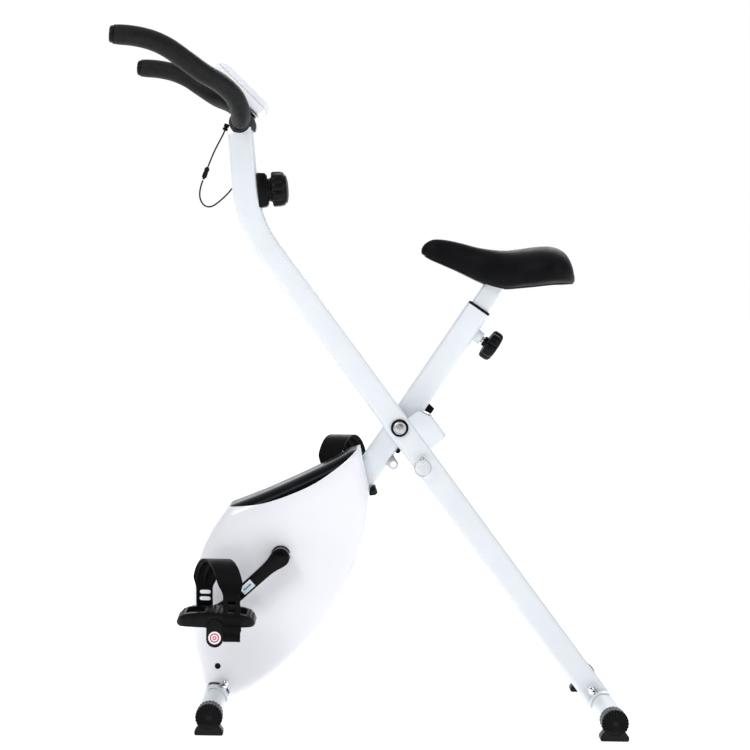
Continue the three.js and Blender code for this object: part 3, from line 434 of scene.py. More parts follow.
def saddle_skin():
    """Leather-like vinyl: pebbled grain crossed by fine creases."""
    look = Look("saddle vinyl", Specular_IOR_Level=0.08)
    look.colours(look.noise(35), (0.35, (0.0022, 0.0022, 0.0028)), (0.72, (0.0042, 0.0042, 0.005)))
    look.roughness(look.noise(60), 0.46, 0.56)
    grain = look.cells(850, "Distance")
    return look.bump(grain, 0.07).bump(look.noise(240, 4), 0.06).material


def metal(name, tone, rough, brushed=None, wear=1.12, grain=900, depth=0.01):
    """Bare or plated metal; brushed gives the stretch of its brush marks along x, y and z."""
    look = Look(name, Metallic=1.0)
    look.colours(look.noise(45), (0.35, mixed(tone, 1 / wear)), (0.68, mixed(tone, wear)))
    marks = look.noise(grain, 2, look.stretched(*brushed) if brushed else None)
    look.roughness(marks, *rough)
    return look.bump(marks, depth).material


def screen():
    """Dark liquid-crystal window behind clear plastic."""
    look = Look("display window", Coat_Weight=1.0, Coat_Roughness=0.02)
    look.colours(look.noise(300, 1), (0.40, (0.030, 0.036, 0.032)), (0.60, (0.036, 0.043, 0.038)))
    look.roughness(look.noise(100), 0.15, 0.22)
    return look.bump(look.noise(900, 1), 0.004).material


def label(name, tone):
    look = Look(name)
    look.colours(look.noise(120), (0.35, mixed(tone, 0.94)), (0.65, tone))
    look.roughness(look.noise(200), 0.3, 0.4)
    return look.bump(look.noise(1500, 1), 0.004).material


WHITE_PAINT = white_paint()
WHITE_PLASTIC = white_plastic()
BLACK_PLASTIC = black_plastic()
GREY_PLASTIC = black_plastic("dark grey plastic", 0.038, (0.45, 0.6), 1100)
CAP_PLASTIC = black_plastic("black foot plastic", 0.003, (0.30, 0.42), 1600, 0.18)
BLACK_GLOSS = black_gloss()
BLACK_PAINT = black_paint()
FOAM = foam()
RUBBER = rubber()
SADDLE_SKIN = saddle_skin()
STEEL = metal("zinc plated steel", (0.55, 0.56, 0.58), (0.28, 0.42), (1, 0.08, 1))
CHROME = metal("chrome", (0.72, 0.73, 0.75), (0.05, 0.12), wear=1.04, grain=300, depth=0.004)
CAST_IRON = metal("turned cast iron", (0.10, 0.10, 0.105), (0.40, 0.60), (1, 0.2, 1), wear=1.3, depth=0.03)
SCREEN = screen()
LABEL_WHITE = label("white label", (0.85, 0.85, 0.87))
LABEL_BLUE = label("blue label mark", (0.05, 0.35, 0.60))
LABEL_RED = label("red label ring", (0.55, 0.03, 0.06))


# ---------------------------------------------------------------- camera, light and floor
def camera():
    """Level view from the left, a little ahead of the pivot, rolled by under a degree."""
    data = bpy.data.cameras.new("camera")
    data.sensor_width = 36
    data.lens = 99.85
    data.shift_x = 0.056
    data.shift_y = -0.100
    data.clip_end = 200
    roll = math.radians(0.86)
    right = vec(math.cos(roll), 0, math.sin(roll))
    up = vec(-math.sin(roll), 0, math.cos(roll))
    turn = Matrix((right, up, vec(0, -1, 0))).transposed().to_4x4()
    eye = bpy.data.objects.new("camera", data)
    eye.matrix_world = Matrix.Translation((-0.057, -3.370, 0.664)) @ turn
    bpy.context.scene.collection.objects.link(eye)
    bpy.context.scene.camera = eye


def softbox(name, place, aim, size, power):
    data = bpy.data.lights.new(name, "AREA")
    data.shape = "RECTANGLE"
    data.size, data.size_y = size
    data.energy = power
    lamp = bpy.data.objects.new(name, data)
    lamp.location = place
    lamp.rotation_euler = (Vector(aim) - Vector(place)).to_track_quat("-Z", "Y").to_euler()
    bpy.context.scene.collection.objects.link(lamp)


# Brightness of the surroundings, from one end of an axis to the other.
DOME_LEVELS = ((0.0, 0.03), (0.10, 0.08), (0.24, 0.72), (0.42, 1.0), (1.0, 0.82))
FLAG_LEVELS = ((0.0, 0.22), (0.14, 0.28), (0.28, 1.0), (0.74, 1.0), (0.88, 0.34), (1.0, 0.28))
DOME_TINT = (0.94, 0.97, 1)
FLAG_TINT = (1, 1, 1)


def surroundings():
    """A white studio as seen, lit by a dome with a dark opening and two grey side flags."""
    world = bpy.data.worlds.new("studio")
    bpy.context.scene.world = world
    world.use_nodes = True
    nodes, links = world.node_tree.nodes, world.node_tree.links
    shown = nodes.new("ShaderNodeBackground")
    shown.inputs["Color"].default_value = (1.0, 1.0, 1.0, 1)
    heading = nodes.new("ShaderNodeSeparateXYZ")
    links.new(nodes.new("ShaderNodeTexCoord").outputs["Generated"], heading.inputs[0])
    layers = []
    for axis, tint, levels in (("Y", DOME_TINT, DOME_LEVELS), ("X", FLAG_TINT, FLAG_LEVELS)):
        share = nodes.new("ShaderNodeMapRange")
        share.inputs["From Min"].default_value = -1
        links.new(heading.outputs[axis], share.inputs["Value"])
        stops = [(position, [level * part for part in tint]) for position, level in levels]
        layers.append(ramped(nodes, links, share.outputs["Result"], stops))
    shaded = nodes.new("ShaderNodeMix")
    shaded.data_type = "RGBA"
    shaded.blend_type = "MULTIPLY"
    shaded.inputs["Factor"].default_value = 1.0
    for layer, socket in zip(layers, "AB"):
        links.new(layer, shaded.inputs[socket])
    around = nodes["Background"]
    around.inputs["Strength"].default_value = 1.10
    links.new(shaded.outputs["Result"], around.inputs["Color"])
    path = nodes.new("ShaderNodeLightPath")
    pick = nodes.new("ShaderNodeMixShader")
    links.new(path.outputs["Is Camera Ray"], pick.inputs[0])
    links.new(around.outputs[0], pick.inputs[1])
    links.new(shown.outputs[0], pick.inputs[2])
    links.new(pick.outputs[0], nodes["World Output"].inputs["Surface"])


def pale_floor():
    """A wide pale floor, lit a little from within so that it fades into the background."""
    reach = 80000
    square = ((-1, -1), (1, -1), (1, 1), (-1, 1))
    floor = loft("floor", [[vec(x * reach, y * reach, z) for x, y in square] for z in (-1, 0)])
    look = Look("pale floor", Emission_Color=(1.0, 1.0, 1.0, 1.0), Emission_Strength=0.66,
                Specular_IOR_Level=0.1)
    look.colours(look.noise(3), (0.3, (0.80, 0.805, 0.81)), (0.7, (0.82, 0.825, 0.83)))
    floor.data.materials.append(look.roughness(look.noise(6), 0.75, 0.9).bump(look.noise(60), 0.05).material)


def studio():
    surroundings()
    softbox("key", (-1.8, -2.6, 2.6), (0, 0, 0.5), (1.6, 1.6), 46)
    softbox("fill", (2.4, -2.0, 1.6), (0, 0, 0.5), (1.4, 1.8), 20)
    softbox("back", (0.6, 2.6, 2.2), (0, 0, 0.5), (2.0, 1.2), 30)
    bpy.context.scene.view_settings.view_transform = "Standard"
    pale_floor()


# ---------------------------------------------------------------- sensor lead
def metres(*points):
    return [Vector((x, REAR_Y * MM, z)) for x, z in points]


UPPER_LEAD = metres((-0.2336, 0.9345), (-0.236, 0.928), (-0.2395, 0.921), (-0.244, 0.912),
                    (-0.2485, 0.903), (-0.2525, 0.894), (-0.2565, 0.884), (-0.260, 0.875))
LOWER_LEAD = metres((-0.268, 0.8525), (-0.2705, 0.845), (-0.2723, 0.837), (-0.2728, 0.829),
                    (-0.2713, 0.821), (-0.267, 0.814), (-0.2605, 0.8103), (-0.253, 0.811),
                    (-0.246, 0.8152), (-0.239, 0.821), (-0.232, 0.8275), (-0.226, 0.834),
                    (-0.2215, 0.840))
LEAD_DIAMETER = 0.0025


def lead(name, route, node):
    """A thin cable along a smooth curve, as a round-bevelled curve object."""
    path = [p * MM for p in catmull([p / MM for p in route], 30)]
    data = bpy.data.curves.new(name, "CURVE")
    data.dimensions = "3D"
    data.bevel_depth = LEAD_DIAMETER / 2
    data.bevel_resolution = 4
    data.use_fill_caps = True
    spline = data.splines.new("POLY")
    spline.points.add(len(path) - 1)
    for point, spot in zip(spline.points, path):
        point.co = (*spot, 1)
    obj = bpy.data.objects.new(name, data)
    bpy.context.scene.collection.objects.link(obj)
    data.materials.append(RUBBER)
    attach(obj, "rear_frame")
    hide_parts(node)
    length = sum((b - a).length for a, b in zip(path, path[1:]))
    return obj, length


def sensor_lead():
    start = UPPER_LEAD[-1] / MM
    end = LOWER_LEAD[0] / MM
    shell = lathe("inline_plug", [(0, 0.5), (1.7, 0.5), (2.1, 2.2), (3.5, 3.0), (3.7, 4.0), (3.7, 8.6),
                                  (3.3, 9.0), (3.3, 10.6), (3.7, 11.0), (3.7, 18.4), (3.3, 19.4), (2.2, 20.0),
                                  (1.7, 22.4), (0, 22.4)],
                  start, end - start, 28,
                  lambda turn, r, h: (0.05 * math.cos(4 * turn) if 3 < h < 19.5 else 0, 0))
    plug = piece(shell, "rear_frame", BLACK_PLASTIC, "black_plastic", "lead_plug")
    upper, upper_length = lead("sensor_lead_top", UPPER_LEAD, "sensor_lead_upper")
    lower, lower_length = lead("sensor_lead_loop", LOWER_LEAD, "sensor_lead_lower")
    grommet = lathe("cable_grommet", [(0, -9), (4.2, -9), (4.2, -4), (3.2, -3.4), (3.2, -2.2), (4.4, -1.6),
                                      (4.2, 1.4), (2.4, 2.2), (0, 2.2)],
                    start + (UPPER_LEAD[0] - UPPER_LEAD[-1]) / MM, (UPPER_LEAD[1] - UPPER_LEAD[0]), 28)
    piece(cut(grommet, cross_pin(CLAMP_RADIUS + GAP, HANDLE.x, HANDLE.z), post_envelope()), "rear_frame",
          RUBBER, "rubber", "lead_grommet")


# ---------------------------------------------------------------- feet
FOOT_RADIUS = 19
PLATE_THICK = 2.5
BRACKET_RADIUS = FOOT_RADIUS + GAP + PLATE_THICK
FOOT_HALF = 215
CAP_LOBES = 24


def cap_relief(turn, radius, height):
    """Scallops round an end cap's rim, and ribs that fan out over its end."""
    if radius > 20:
        return (0.045 * (abs(math.cos(CAP_LOBES / 2 * turn)) - 1), 0)
    if 5 < radius < 19 and height > 213:
        return (0, -2.2 * max(0, math.cos(CAP_LOBES * turn)) ** 0.6)
    return (0, 0)


def end_cap(name, foot, side, body, node):
    out = vec(0, side, 0)
    profile = [(0, 214.8), (3.0, 214.8), (4.0, 214.6), (6, 214.6), (12, 214.6), (18.4, 214.5), (19.4, 214.6),
               (20.2, 215), (21, 214.4), (21, 208), (21, 200), (21, 190), (21, 188), (20.4, 187), (19.3, 187)]
    cap = lathe(name, [*profile, (19.3, 211.5), (0, 211.5)], foot.copy(), out, CAP_LOBES * 8, cap_relief)
    x, (low, high) = foot.x, sorted((side * 187, side * 213.4))
    block = prism("pad", [(x - 21, 0.6), (x - 20, 0), (x + 20, 0), (x + 21, 0.6), (x + 22, 3), (x + 21.6, 7),
                          (x + 18.5, 11), (x + 15.5, 15), (x + 14.5, 18), (x - 14.5, 18), (x - 15.5, 15),
                          (x - 18.5, 11), (x - 21.6, 7), (x - 22, 3)], low, high, 1.4)
    bore = pin("bore", 19.3, vec(x, side * 211.5, foot.z), vec(x, side * 180, foot.z), 64)
    treads = [prism("tread", [(x + t - 1, -1), (x + t + 1, -1), (x + t, 0.7)], low - 1, high + 1)
              for t in range(-18, 19, 4)]
    piece(merged(cap, cut(block, bore, *treads)), body, CAP_PLASTIC, "black_plastic", node)


def foot_bracket(name, foot, line, body, node):
    up = math.degrees(math.atan2(line.along.z, line.along.x))
    inner, outer = FOOT_RADIUS + GAP, BRACKET_RADIUS
    outline = arc((foot.x, foot.z), outer, up - 62, up + 62, 36)
    outline += arc((foot.x, foot.z), inner, up + 62, up - 62, 36)
    across = (REAR_Y + FRONT_Y) / 2
    plate = prism(name, outline, across - 61, across + 61, 0.5, 2)
    piece(plate, body, WHITE_PAINT, "white_paint", node)


def acorn_nut(name, foot, y, line, body, node):
    origin = vec(foot.x, y, foot.z)
    base = BRACKET_RADIUS + GAP
    washer = lathe(name, [(0, base), (7, base), (7, base + 1.2), (6.6, base + 1.6), (0, base + 1.6)], origin,
                   line.along)
    hexagon = lathe("hexagon", [(0, base + 1.6), (6.3, base + 1.6), (6.6, base + 2), (6.6, base + 7),
                                (6.2, base + 7.8), (0, base + 7.8)], origin, line.along, 6)
    dome = lathe("dome", [(0, base + 7), (5.5, base + 7.2), (5.4, base + 10), (4.6, base + 12.8),
                          (3.2, base + 14.8), (1.4, base + 15.8), (0, base + 16)], origin, line.along, 32)
    shank = pin("shank", 4, origin + line.along * (FOOT_RADIUS - 6), origin + line.along * (base + 1), 20)
    piece(merged(washer, bevel(hexagon, 0.4, 2), dome, shank), body, CHROME, "chrome", node)


def feet():
    for end, foot, line, body in (("front", FRONT_FOOT, seat_line, "front_frame"),
                                  ("rear", REAR_FOOT, post_line, "rear_frame")):
        reach = vec(0, FOOT_HALF - 3.8, 0)
        tube = pin(f"{end}_stabiliser", FOOT_RADIUS, foot - reach, foot + reach, 72)
        piece(tube, body, WHITE_PAINT, "white_paint", f"{end}_foot_tube")
        foot_bracket(f"{end}_saddle_plate", foot, line, body, f"{end}_foot_bracket")
        for side, sign in SIDES:
            end_cap(f"{end}_cap_{side}", foot, sign, body, f"{end}_end_cap_{side}")
            node = f"{end}_foot_nut_{side}"
            acorn_nut(f"{end}_acorn_nut_{side}", foot, middle(node).y, line, body, node)


# ---------------------------------------------------------------- main tubes
def square_tube(name, path, size, corner, wall):
    """A hollow square tube with its long edges rounded, its first axis along y."""
    rings = []
    for section, spots in ((rounded_square(size, corner), path),
                           (rounded_square(size - 2 * wall, corner - wall), path[::-1])):
        order = 1 if spots is path else -1
        for i, spot in enumerate(spots):
            heading = spots[min(i + 1, len(spots) - 1)] - spots[max(i - 1, 0)]
            heading = heading.normalized() * order
            other = vec(0, 1, 0).cross(heading)
            rings.append([spot + vec(0, u, 0) + other * v for u, v in section])
    return loft(name, rings, wrap=True)


def cross_pin(radius, x, z, low=-150, high=150, sides=48):
    return pin("tool", radius, vec(x, low, z), vec(x, high, z), sides)


LOCK_RADIUS = 62
LUG_TURN = math.radians(26.3)
LUG = seat_line.at(-LOCK_RADIUS * math.cos(LUG_TURN), LOCK_RADIUS * math.sin(LUG_TURN))
SEAT_TUBE_TOP = 228
KNOB_UP = 192
AXLE_BORE = 5.3


def height_pin_way():
    """The bore for the height pin, through the tube's wall and the collar."""
    return pin("way", 4.3, seat_line.at(KNOB_UP, 10, FRONT_Y), seat_line.at(KNOB_UP, 60, FRONT_Y))


def seat_tube():
    leg = (PIVOT - FRONT_FOOT).length
    tube = square_tube("seat_tube_body",
                       [seat_line.at(8 - leg, 0, FRONT_Y), seat_line.at(SEAT_TUBE_TOP, 0, FRONT_Y)], TUBE,
                       TUBE_CORNER, 1.5)
    way = height_pin_way()
    cut(tube, cross_pin(BRACKET_RADIUS + GAP, FRONT_FOOT.x, FRONT_FOOT.z),
        cross_pin(AXLE_BORE, PIVOT.x, PIVOT.z), way, cross_pin(AXLE_BORE, FLYWHEEL.x, FLYWHEEL.z))
    boss = lathe("boss", [(4.3, 18.8), (13.5, 19.4), (12.2, 20.6), (11.2, 22.6), (11, 25), (11, 30.2),
                          (10.2, 31), (4.3, 31)], seat_line.at(KNOB_UP, 0, FRONT_Y), seat_line.across, 40)
    lug = teardrop("lug", LUG, 8.5, [seat_line.flat(-42, 17), seat_line.flat(-62, 15)], -19, -14)
    cut(lug, cross_pin(4.8, LUG.x, LUG.z))
    piece(merged(tube, boss), "front_frame", WHITE_PAINT, "white_paint", "seat_tube")
    piece(lug, "front_frame", STEEL, "white_paint", "seat_tube")


def teardrop(name, eye, radius, root, low, high):
    """A tab: a round eye joined to two root points by straight sides."""
    outline = []
    angles = [math.atan2(z - eye.z, x - eye.x) for x, z in root]
    outline += [root[0]]
    start = math.degrees(angles[0]) - 80
    end = math.degrees(angles[1]) + 80
    while end > start:
        end -= 360
    outline += arc((eye.x, eye.z), radius, start, end, 24)
    outline += [root[1]]
    return prism(name, outline, low, high, 0.6, 2)


def seat_collar():
    low = SEAT_TUBE_TOP + GAP
    lip = square_tube("collar_lip", [seat_line.at(low + h, 0, FRONT_Y) for h in (0, 4.5)], TUBE - 1.5,
                      TUBE_CORNER, 3.9)
    sleeve = square_tube("sleeve", [seat_line.at(low + h, 0, FRONT_Y) for h in (-30, 1)], TUBE - 3.6, 6, 2.9)
    way = height_pin_way()
    piece(merged(bevel(lip, 1.2, 3), cut(sleeve, way)), "front_frame", BLACK_PLASTIC, "black_plastic",
          "seat_collar")


def bumper(name, low, high, height, y_low, y_high, *node):
    edge = TUBE / 2 + GAP
    outline = [seat_line.flat(low, edge), seat_line.flat(low + 2, edge - GAP + height),
               seat_line.flat(high - 2, edge - GAP + height), seat_line.flat(high, edge)]
    piece(prism(name, outline, y_low, y_high, 1.2), "front_frame", RUBBER, "rubber", *node)


def post_route(steps=28):
    run = 56
    start = POST_BEND - post_line.along * run
    end = POST_BEND + top_line.along * run
    bend = []
    for i in range(steps + 1):
        t = i / steps
        bend.append(start * (1 - t) ** 2 + POST_BEND * (2 * t * (1 - t)) + end * t ** 2)
    low = REAR_FOOT + post_line.along * 8
    spots = [low, *bend, HANDLE - top_line.along * 4]
    return [vec(s.x, REAR_Y, s.z) for s in spots]


CLAMP_RADIUS = 17.2


def post_mouth():
    """What is cut off the post's top end to seat the bar's clamp."""
    outline = [top_line.flat(p, q)
               for p, q in ((-17, -30), (-17, -12), (-9, 12), (-9, 30), (40, 30), (40, -30))]
    return prism("mouth", outline, REAR_Y - 25, REAR_Y + 25)


def post_envelope():
    envelope = sweep("envelope", rounded_square(TUBE + 2 * GAP, TUBE_CORNER), post_route())
    return cut(envelope, post_mouth())


LOCK = post_line.at(-LOCK_RADIUS)


def post_tube():
    tube = square_tube("handlebar_post", post_route(), TUBE, TUBE_CORNER, 1.5)
    cable = top_line.at(-106, -20, REAR_Y)
    cut(tube, cross_pin(BRACKET_RADIUS + GAP, REAR_FOOT.x, REAR_FOOT.z), post_mouth(),
        cross_pin(CLAMP_RADIUS + GAP, HANDLE.x, HANDLE.z, sides=72), cross_pin(AXLE_BORE, PIVOT.x, PIVOT.z),
        cross_pin(4.3, LOCK.x, LOCK.z),
        pin("cable", 2.2, cable - top_line.across * 4, cable + top_line.across * 6, 20))
    guide = lathe("guide", [(4.3, 19), (8.6, 19.4), (7.6, 20.6), (7.5, 25.2), (6.8, 26), (4.3, 26)],
                  vec(LOCK.x, REAR_Y, LOCK.z), vec(0, -1, 0), 36)
    piece(merged(tube, guide), "rear_frame", WHITE_PAINT, "white_paint", "post_tube")


def u_bracket():
    """Bent channel round the seat tube, cut to its two side outlines."""
    thick, web, low, high = 3.2, 53, REAR_Y - 17, 24.2
    far_corner, near_corner = 7.5, 4.3

    def section(inset, corner):
        edge = [(-30, low + inset)] + [(web - inset + c, low + inset + s) for c, s in
                arc((-corner, corner), corner, -90, 0, 8)]
        return edge + [(web - inset + c, high - inset + s) for c, s in
                arc((-corner, -corner), corner, 0, 90, 8)] + [(-30, high - inset)]
    outer, inner = section(0, far_corner), section(thick, near_corner)
    rings = [[post_line.at(p, q, y) for q, y in outer + inner[::-1]] for p in (-70, 30)]
    channel = loft("cross_bracket", rings)
    corner = ((4, 40), (-14.5, 50), (-14.5, 60), (-51, 60), (-56, 46))
    near_side = ((4, 0), (4, 20.3), *corner, (-56, 0))
    far_side = ((14, -12), (14, 12), *corner, (-56, 16), (-20, -18), (4, -18))
    near = prism("near", [post_line.flat(p, q) for p, q in near_side], low - 5, -25, 0)
    far = prism("far", [post_line.flat(p, q) for p, q in far_side], -25, high + 5, 0)
    combine(channel, "INTERSECT", combine(near, "UNION", far))
    cut(channel, post_envelope(), cross_pin(AXLE_BORE, PIVOT.x, PIVOT.z))
    piece(bevel(channel, 0.6, 2), "rear_frame", WHITE_PAINT, "white_paint", "u_bracket")


def pivot_bolt():
    head_y = REAR_Y - TUBE / 2 - GAP
    seat = vec(PIVOT.x, head_y, PIVOT.z)
    out = vec(0, -1, 0)
    washer = lathe("pivot_washer", [(0, 0), (13, 0), (14, 0.8), (14, 3), (13.2, 4), (11.6, 4.2), (11.2, 2),
                                    (0, 2)],
                   seat, out)
    cap = lathe("pivot_bolt_head", [(0, 2.2), (10.8, 2.2), (10.9, 3.6), (10, 4.9), (8.6, 5.4), (7.6, 5.1),
                                    (6.6, 5.4), (3.4, 6.2), (0, 6.4)], seat, out)
    recess = [prism("recess", [(PIVOT.x + s * x, PIVOT.z + t * z)
                               for s, t in ((-1, -1), (1, -1), (1, 1), (-1, 1))],
                    head_y - 8, head_y - 4.2) for x, z in ((4.4, 1.1), (1.1, 4.4))]
    cut(cap, *recess)
    far = FRONT_Y + TUBE / 2 + 1 + 3.2 + GAP
    shaft = pin("shaft", 5, seat + vec(0, -2.5, 0), vec(PIVOT.x, far + 12, PIVOT.z))
    nut = lathe("nut", [(0, 0), (8.6, 0), (9, 0.5), (9, 7.4), (8.4, 8), (0, 8)], vec(PIVOT.x, far, PIVOT.z),
                vec(0, 1, 0), 6)
    piece(merged(cap, shaft, bevel(nut, 0.4, 2)), "rear_frame", STEEL, "steel", "pivot_bolt")
    piece(washer, "rear_frame", BLACK_PLASTIC, "black_plastic")


def fold_lock():
    eye_y = REAR_Y - TUBE / 2 - 12
    length = REAR_Y + TUBE / 2 - 0.4 - (eye_y - 4)
    shaft = lathe("pull_pin", [(0, 0), (2.6, 0), (3.6, 0.6), (4, 1.8), (4, length - 1), (3.2, length),
                               (0, length)],
                  vec(LOCK.x, eye_y - 4, LOCK.z), vec(0, 1, 0), 36)
    hole = pin("hole", 2.2, vec(LOCK.x - 8, eye_y, LOCK.z), vec(LOCK.x + 8, eye_y, LOCK.z), 20)
    piece(cut(shaft, hole), "lock_pin", STEEL, "steel", "lock_pin")
    turns = [math.radians(360 * i / 72) for i in range(72)]
    rings = [[vec(LOCK.x + math.cos(t) * (13 + u), eye_y + v, LOCK.z - 13 + math.sin(t) * (13 + u))
              for u, v in circle(1, 14)] for t in turns]
    piece(loft("split_ring", rings, wrap=True), "pull_ring", STEEL, "chrome", "pull_ring")


def frame_tubes():
    seat_tube()
    seat_collar()
    bumper("open_stop", 44, 58, 12, FRONT_Y - 10, FRONT_Y + 10, "open_stop_bumper")
    bumper("fold_stop", -112, -101, 5.5, FRONT_Y - 29, FRONT_Y, "fold_stop_bumper")
    bumper("latch_bumper", -38, -27, 5, FRONT_Y - 19, FRONT_Y - 1)
    post_tube()
    u_bracket()
    pivot_bolt()
    fold_lock()


# ---------------------------------------------------------------- handlebar, console and tension knob
BAR_RADIUS = 12.5
GRIP_RADIUS = 15.5
ARM = catmull([(-210, -60, 945), (-207, -86, 950), (-207.5, -110, 961), (-216, -137, 979), (-235, -166, 995),
               (-261, -196, 1008), (-288, -213, 1026), (-314, -221, 1043), (-338, -225, 1053),
               (-365, -228, 1058.5), (-397, -230, 1060.5)], 90)


def mirrored(points):
    return [vec(p.x, -p.y, p.z) for p in points]


def plug_ribs(turn, radius, height):
    """Twelve faint ribs round the outer part of a grip's plug."""
    return (-0.03 * max(0, math.cos(12 * turn)) if height > -2.3 and radius > 12 else 0, 0)


def handlebar():
    bar = sweep("bar_tube", circle(BAR_RADIUS, 36), [*ARM[::-1], *mirrored(ARM)], vec(1, 0, 0))
    piece(bar, "rear_frame", BLACK_PAINT, "black_paint", "handlebar")
    for side, sign in SIDES:
        path = ARM if sign < 0 else mirrored(ARM)
        outward = (path[-1] - path[-2]).normalized()
        sleeve = [*path[3:-3], path[-1] - outward * 4]
        grow = lambda t: 1 - 0.10 * max(0, 1 - t * 60) - 0.05 * max(0, (t - 0.985) * 66)
        grip = sweep(f"foam_grip_{side}", circle(GRIP_RADIUS, 48), sleeve, vec(1, 0, 0), grow)
        piece(grip, "rear_frame", FOAM, "foam", f"grip_{side}")
        plug = lathe(f"grip_plug_{side}",
                     [(0, -5), (14.6, -5), (14.9, -4.2), (14.9, -2.6), (13.4, -2.2), (13.2, 0),
                      (12.4, 2.4), (10.2, 3.8), (0, 4)], path[-1], outward, 48, plug_ribs)
        piece(plug, "rear_frame", BLACK_PLASTIC, "black_plastic")


def clamp_cover():
    shell = cross_pin(20, HANDLE.x + 6, HANDLE.z - 5, REAR_Y - 18, REAR_Y + 18, 72)
    shell.name = "bar_clamp"
    bevel(shell, 2.2, 4)
    trim = prism("trim", [(-240, 900), (-211, 900), (-190, 918), (-170, 924), (-170, 928), (-198, 934),
                          (-214, 946), (-221, 948), (-221, 952), (-240, 952)], REAR_Y - 30, REAR_Y + 30)
    cut(shell, post_envelope(), trim)
    sleeve = bevel(cross_pin(CLAMP_RADIUS, HANDLE.x, HANDLE.z, REAR_Y - 18, REAR_Y + 18, 72), 0.8, 2)
    combine(shell, "UNION", sleeve)
    cut(shell, cross_pin(BAR_RADIUS + GAP, HANDLE.x, HANDLE.z))
    piece(shell, "rear_frame", GREY_PLASTIC, "black_plastic", "clamp_cover")


console_line = Line(vec(-211, 0, 1005), vec(1, 0, -1))


def on_console(u, v, y=0.0):
    """u runs down the console's face, and v out of it."""
    return console_line.at(u, -v, y)


def halved(obj, spot, normal, gap):
    """Splits a closed piece at a plane, with a narrow gap between its two closed parts."""
    halves = []
    for sign in (-1, 1):
        shape = bmesh.new()
        shape.from_mesh(obj.data)
        plane = (spot + normal * (sign * gap / 2)) * MM
        geometry = shape.verts[:] + shape.edges[:] + shape.faces[:]
        result = bmesh.ops.bisect_plane(shape, geom=geometry, plane_co=plane, plane_no=normal * -sign,
                                        clear_outer=True)
        rim = [e for e in result["geom_cut"] if isinstance(e, bmesh.types.BMEdge)]
        bmesh.ops.holes_fill(shape, edges=rim)
        mesh = bpy.data.meshes.new(obj.name)
        shape.to_mesh(mesh)
        shape.free()
        half = bpy.data.objects.new(obj.name + "_part", mesh)
        bpy.context.scene.collection.objects.link(half)
        halves.append(half)
    bpy.data.objects.remove(obj)
    return halves


def console():
    outline = [(-34, 10.1), (-43.6, 6.7), (-49.5, -2), (-47.5, -8.5), (-38, -11.5), (30, -13), (53, -12.8),
               (56.5, 1), (50, 12.6)]
    flat = [(on_console(u, v).x, on_console(u, v).z) for u, v in outline]
    body = bevel(prism("console_body", flat, -48, 48), 2.6, 4, 20)
    window = [on_console(-10 + u, 0, y) for u, y in rounded_rectangle(32, 62, 4)]
    out = -console_line.across
    well = loft("well", [[p + out * h for p in window] for h in (8.6, 20)])
    button_way = pin("way", 6.3, on_console(16, 6.5), on_console(16, 20))
    cut(body, well, button_way)
    seam = (console_line.along * 86.3 + console_line.across * -1.8).normalized()
    top, bottom = halved(body, on_console(0, 1.2), seam.cross(vec(0, 1, 0)), 0.5)
    shell = merged(top, bottom)
    shell.name = "console_shell"
    piece(shell, "rear_frame", WHITE_PLASTIC, "white_plastic", "console")
    glass = [on_console(-10 + u, 0, y) for u, y in rounded_rectangle(31.4, 61.4, 3.7)]
    pane = loft("display_window", [[p + out * h for p in glass] for h in (8.0, 9.6)])
    piece(bevel(pane, 0.4, 2), "rear_frame", SCREEN, "black_gloss")
    button = lathe("select_button", [(0, 0), (6, 0), (6, 3.4), (5.4, 4.1), (3, 4.0), (0, 3.7)],
                   on_console(16, 8.6), out, 40)
    piece(button, "console_button", BLACK_PLASTIC, "black_plastic", "console_button")
    foot = prism("console_mount", [(-186, 958.2), (-194, 951.5), (-202, 950), (-222, 960), (-226, 984),
                                   (-221, 993.5)],
                 -15, 15, 1.2)
    back = loft("back", [[on_console(u, v, y) for u, v in ((-60, -13.3), (70, -13.3), (70, 30), (-60, 30))]
                         for y in (-60, 60)])
    cut(foot, cross_pin(BAR_RADIUS + GAP, HANDLE.x, HANDLE.z), back)
    piece(foot, "rear_frame", BLACK_PLASTIC, "black_plastic", "console_bracket")


def rounded_rectangle(width, height, corner, count=6):
    points = []
    for quarter, (sx, sy) in enumerate(((1, 1), (-1, 1), (-1, -1), (1, -1))):
        centre = (sx * (width / 2 - corner), sy * (height / 2 - corner))
        points += arc(centre, corner, 90 * quarter, 90 * quarter + 90, count)
    return points


def lobes(count, depth, low, high, sharp=1.0):
    """A wave of round lobes in a knob's rim between two heights."""
    def wave(turn, radius, height):
        if low <= height <= high and radius > 8:
            return (depth * (abs(math.cos(count / 2 * turn)) ** sharp - 1), 0)
        return (0, 0)
    return wave


TENSION_DOWN = -110.5


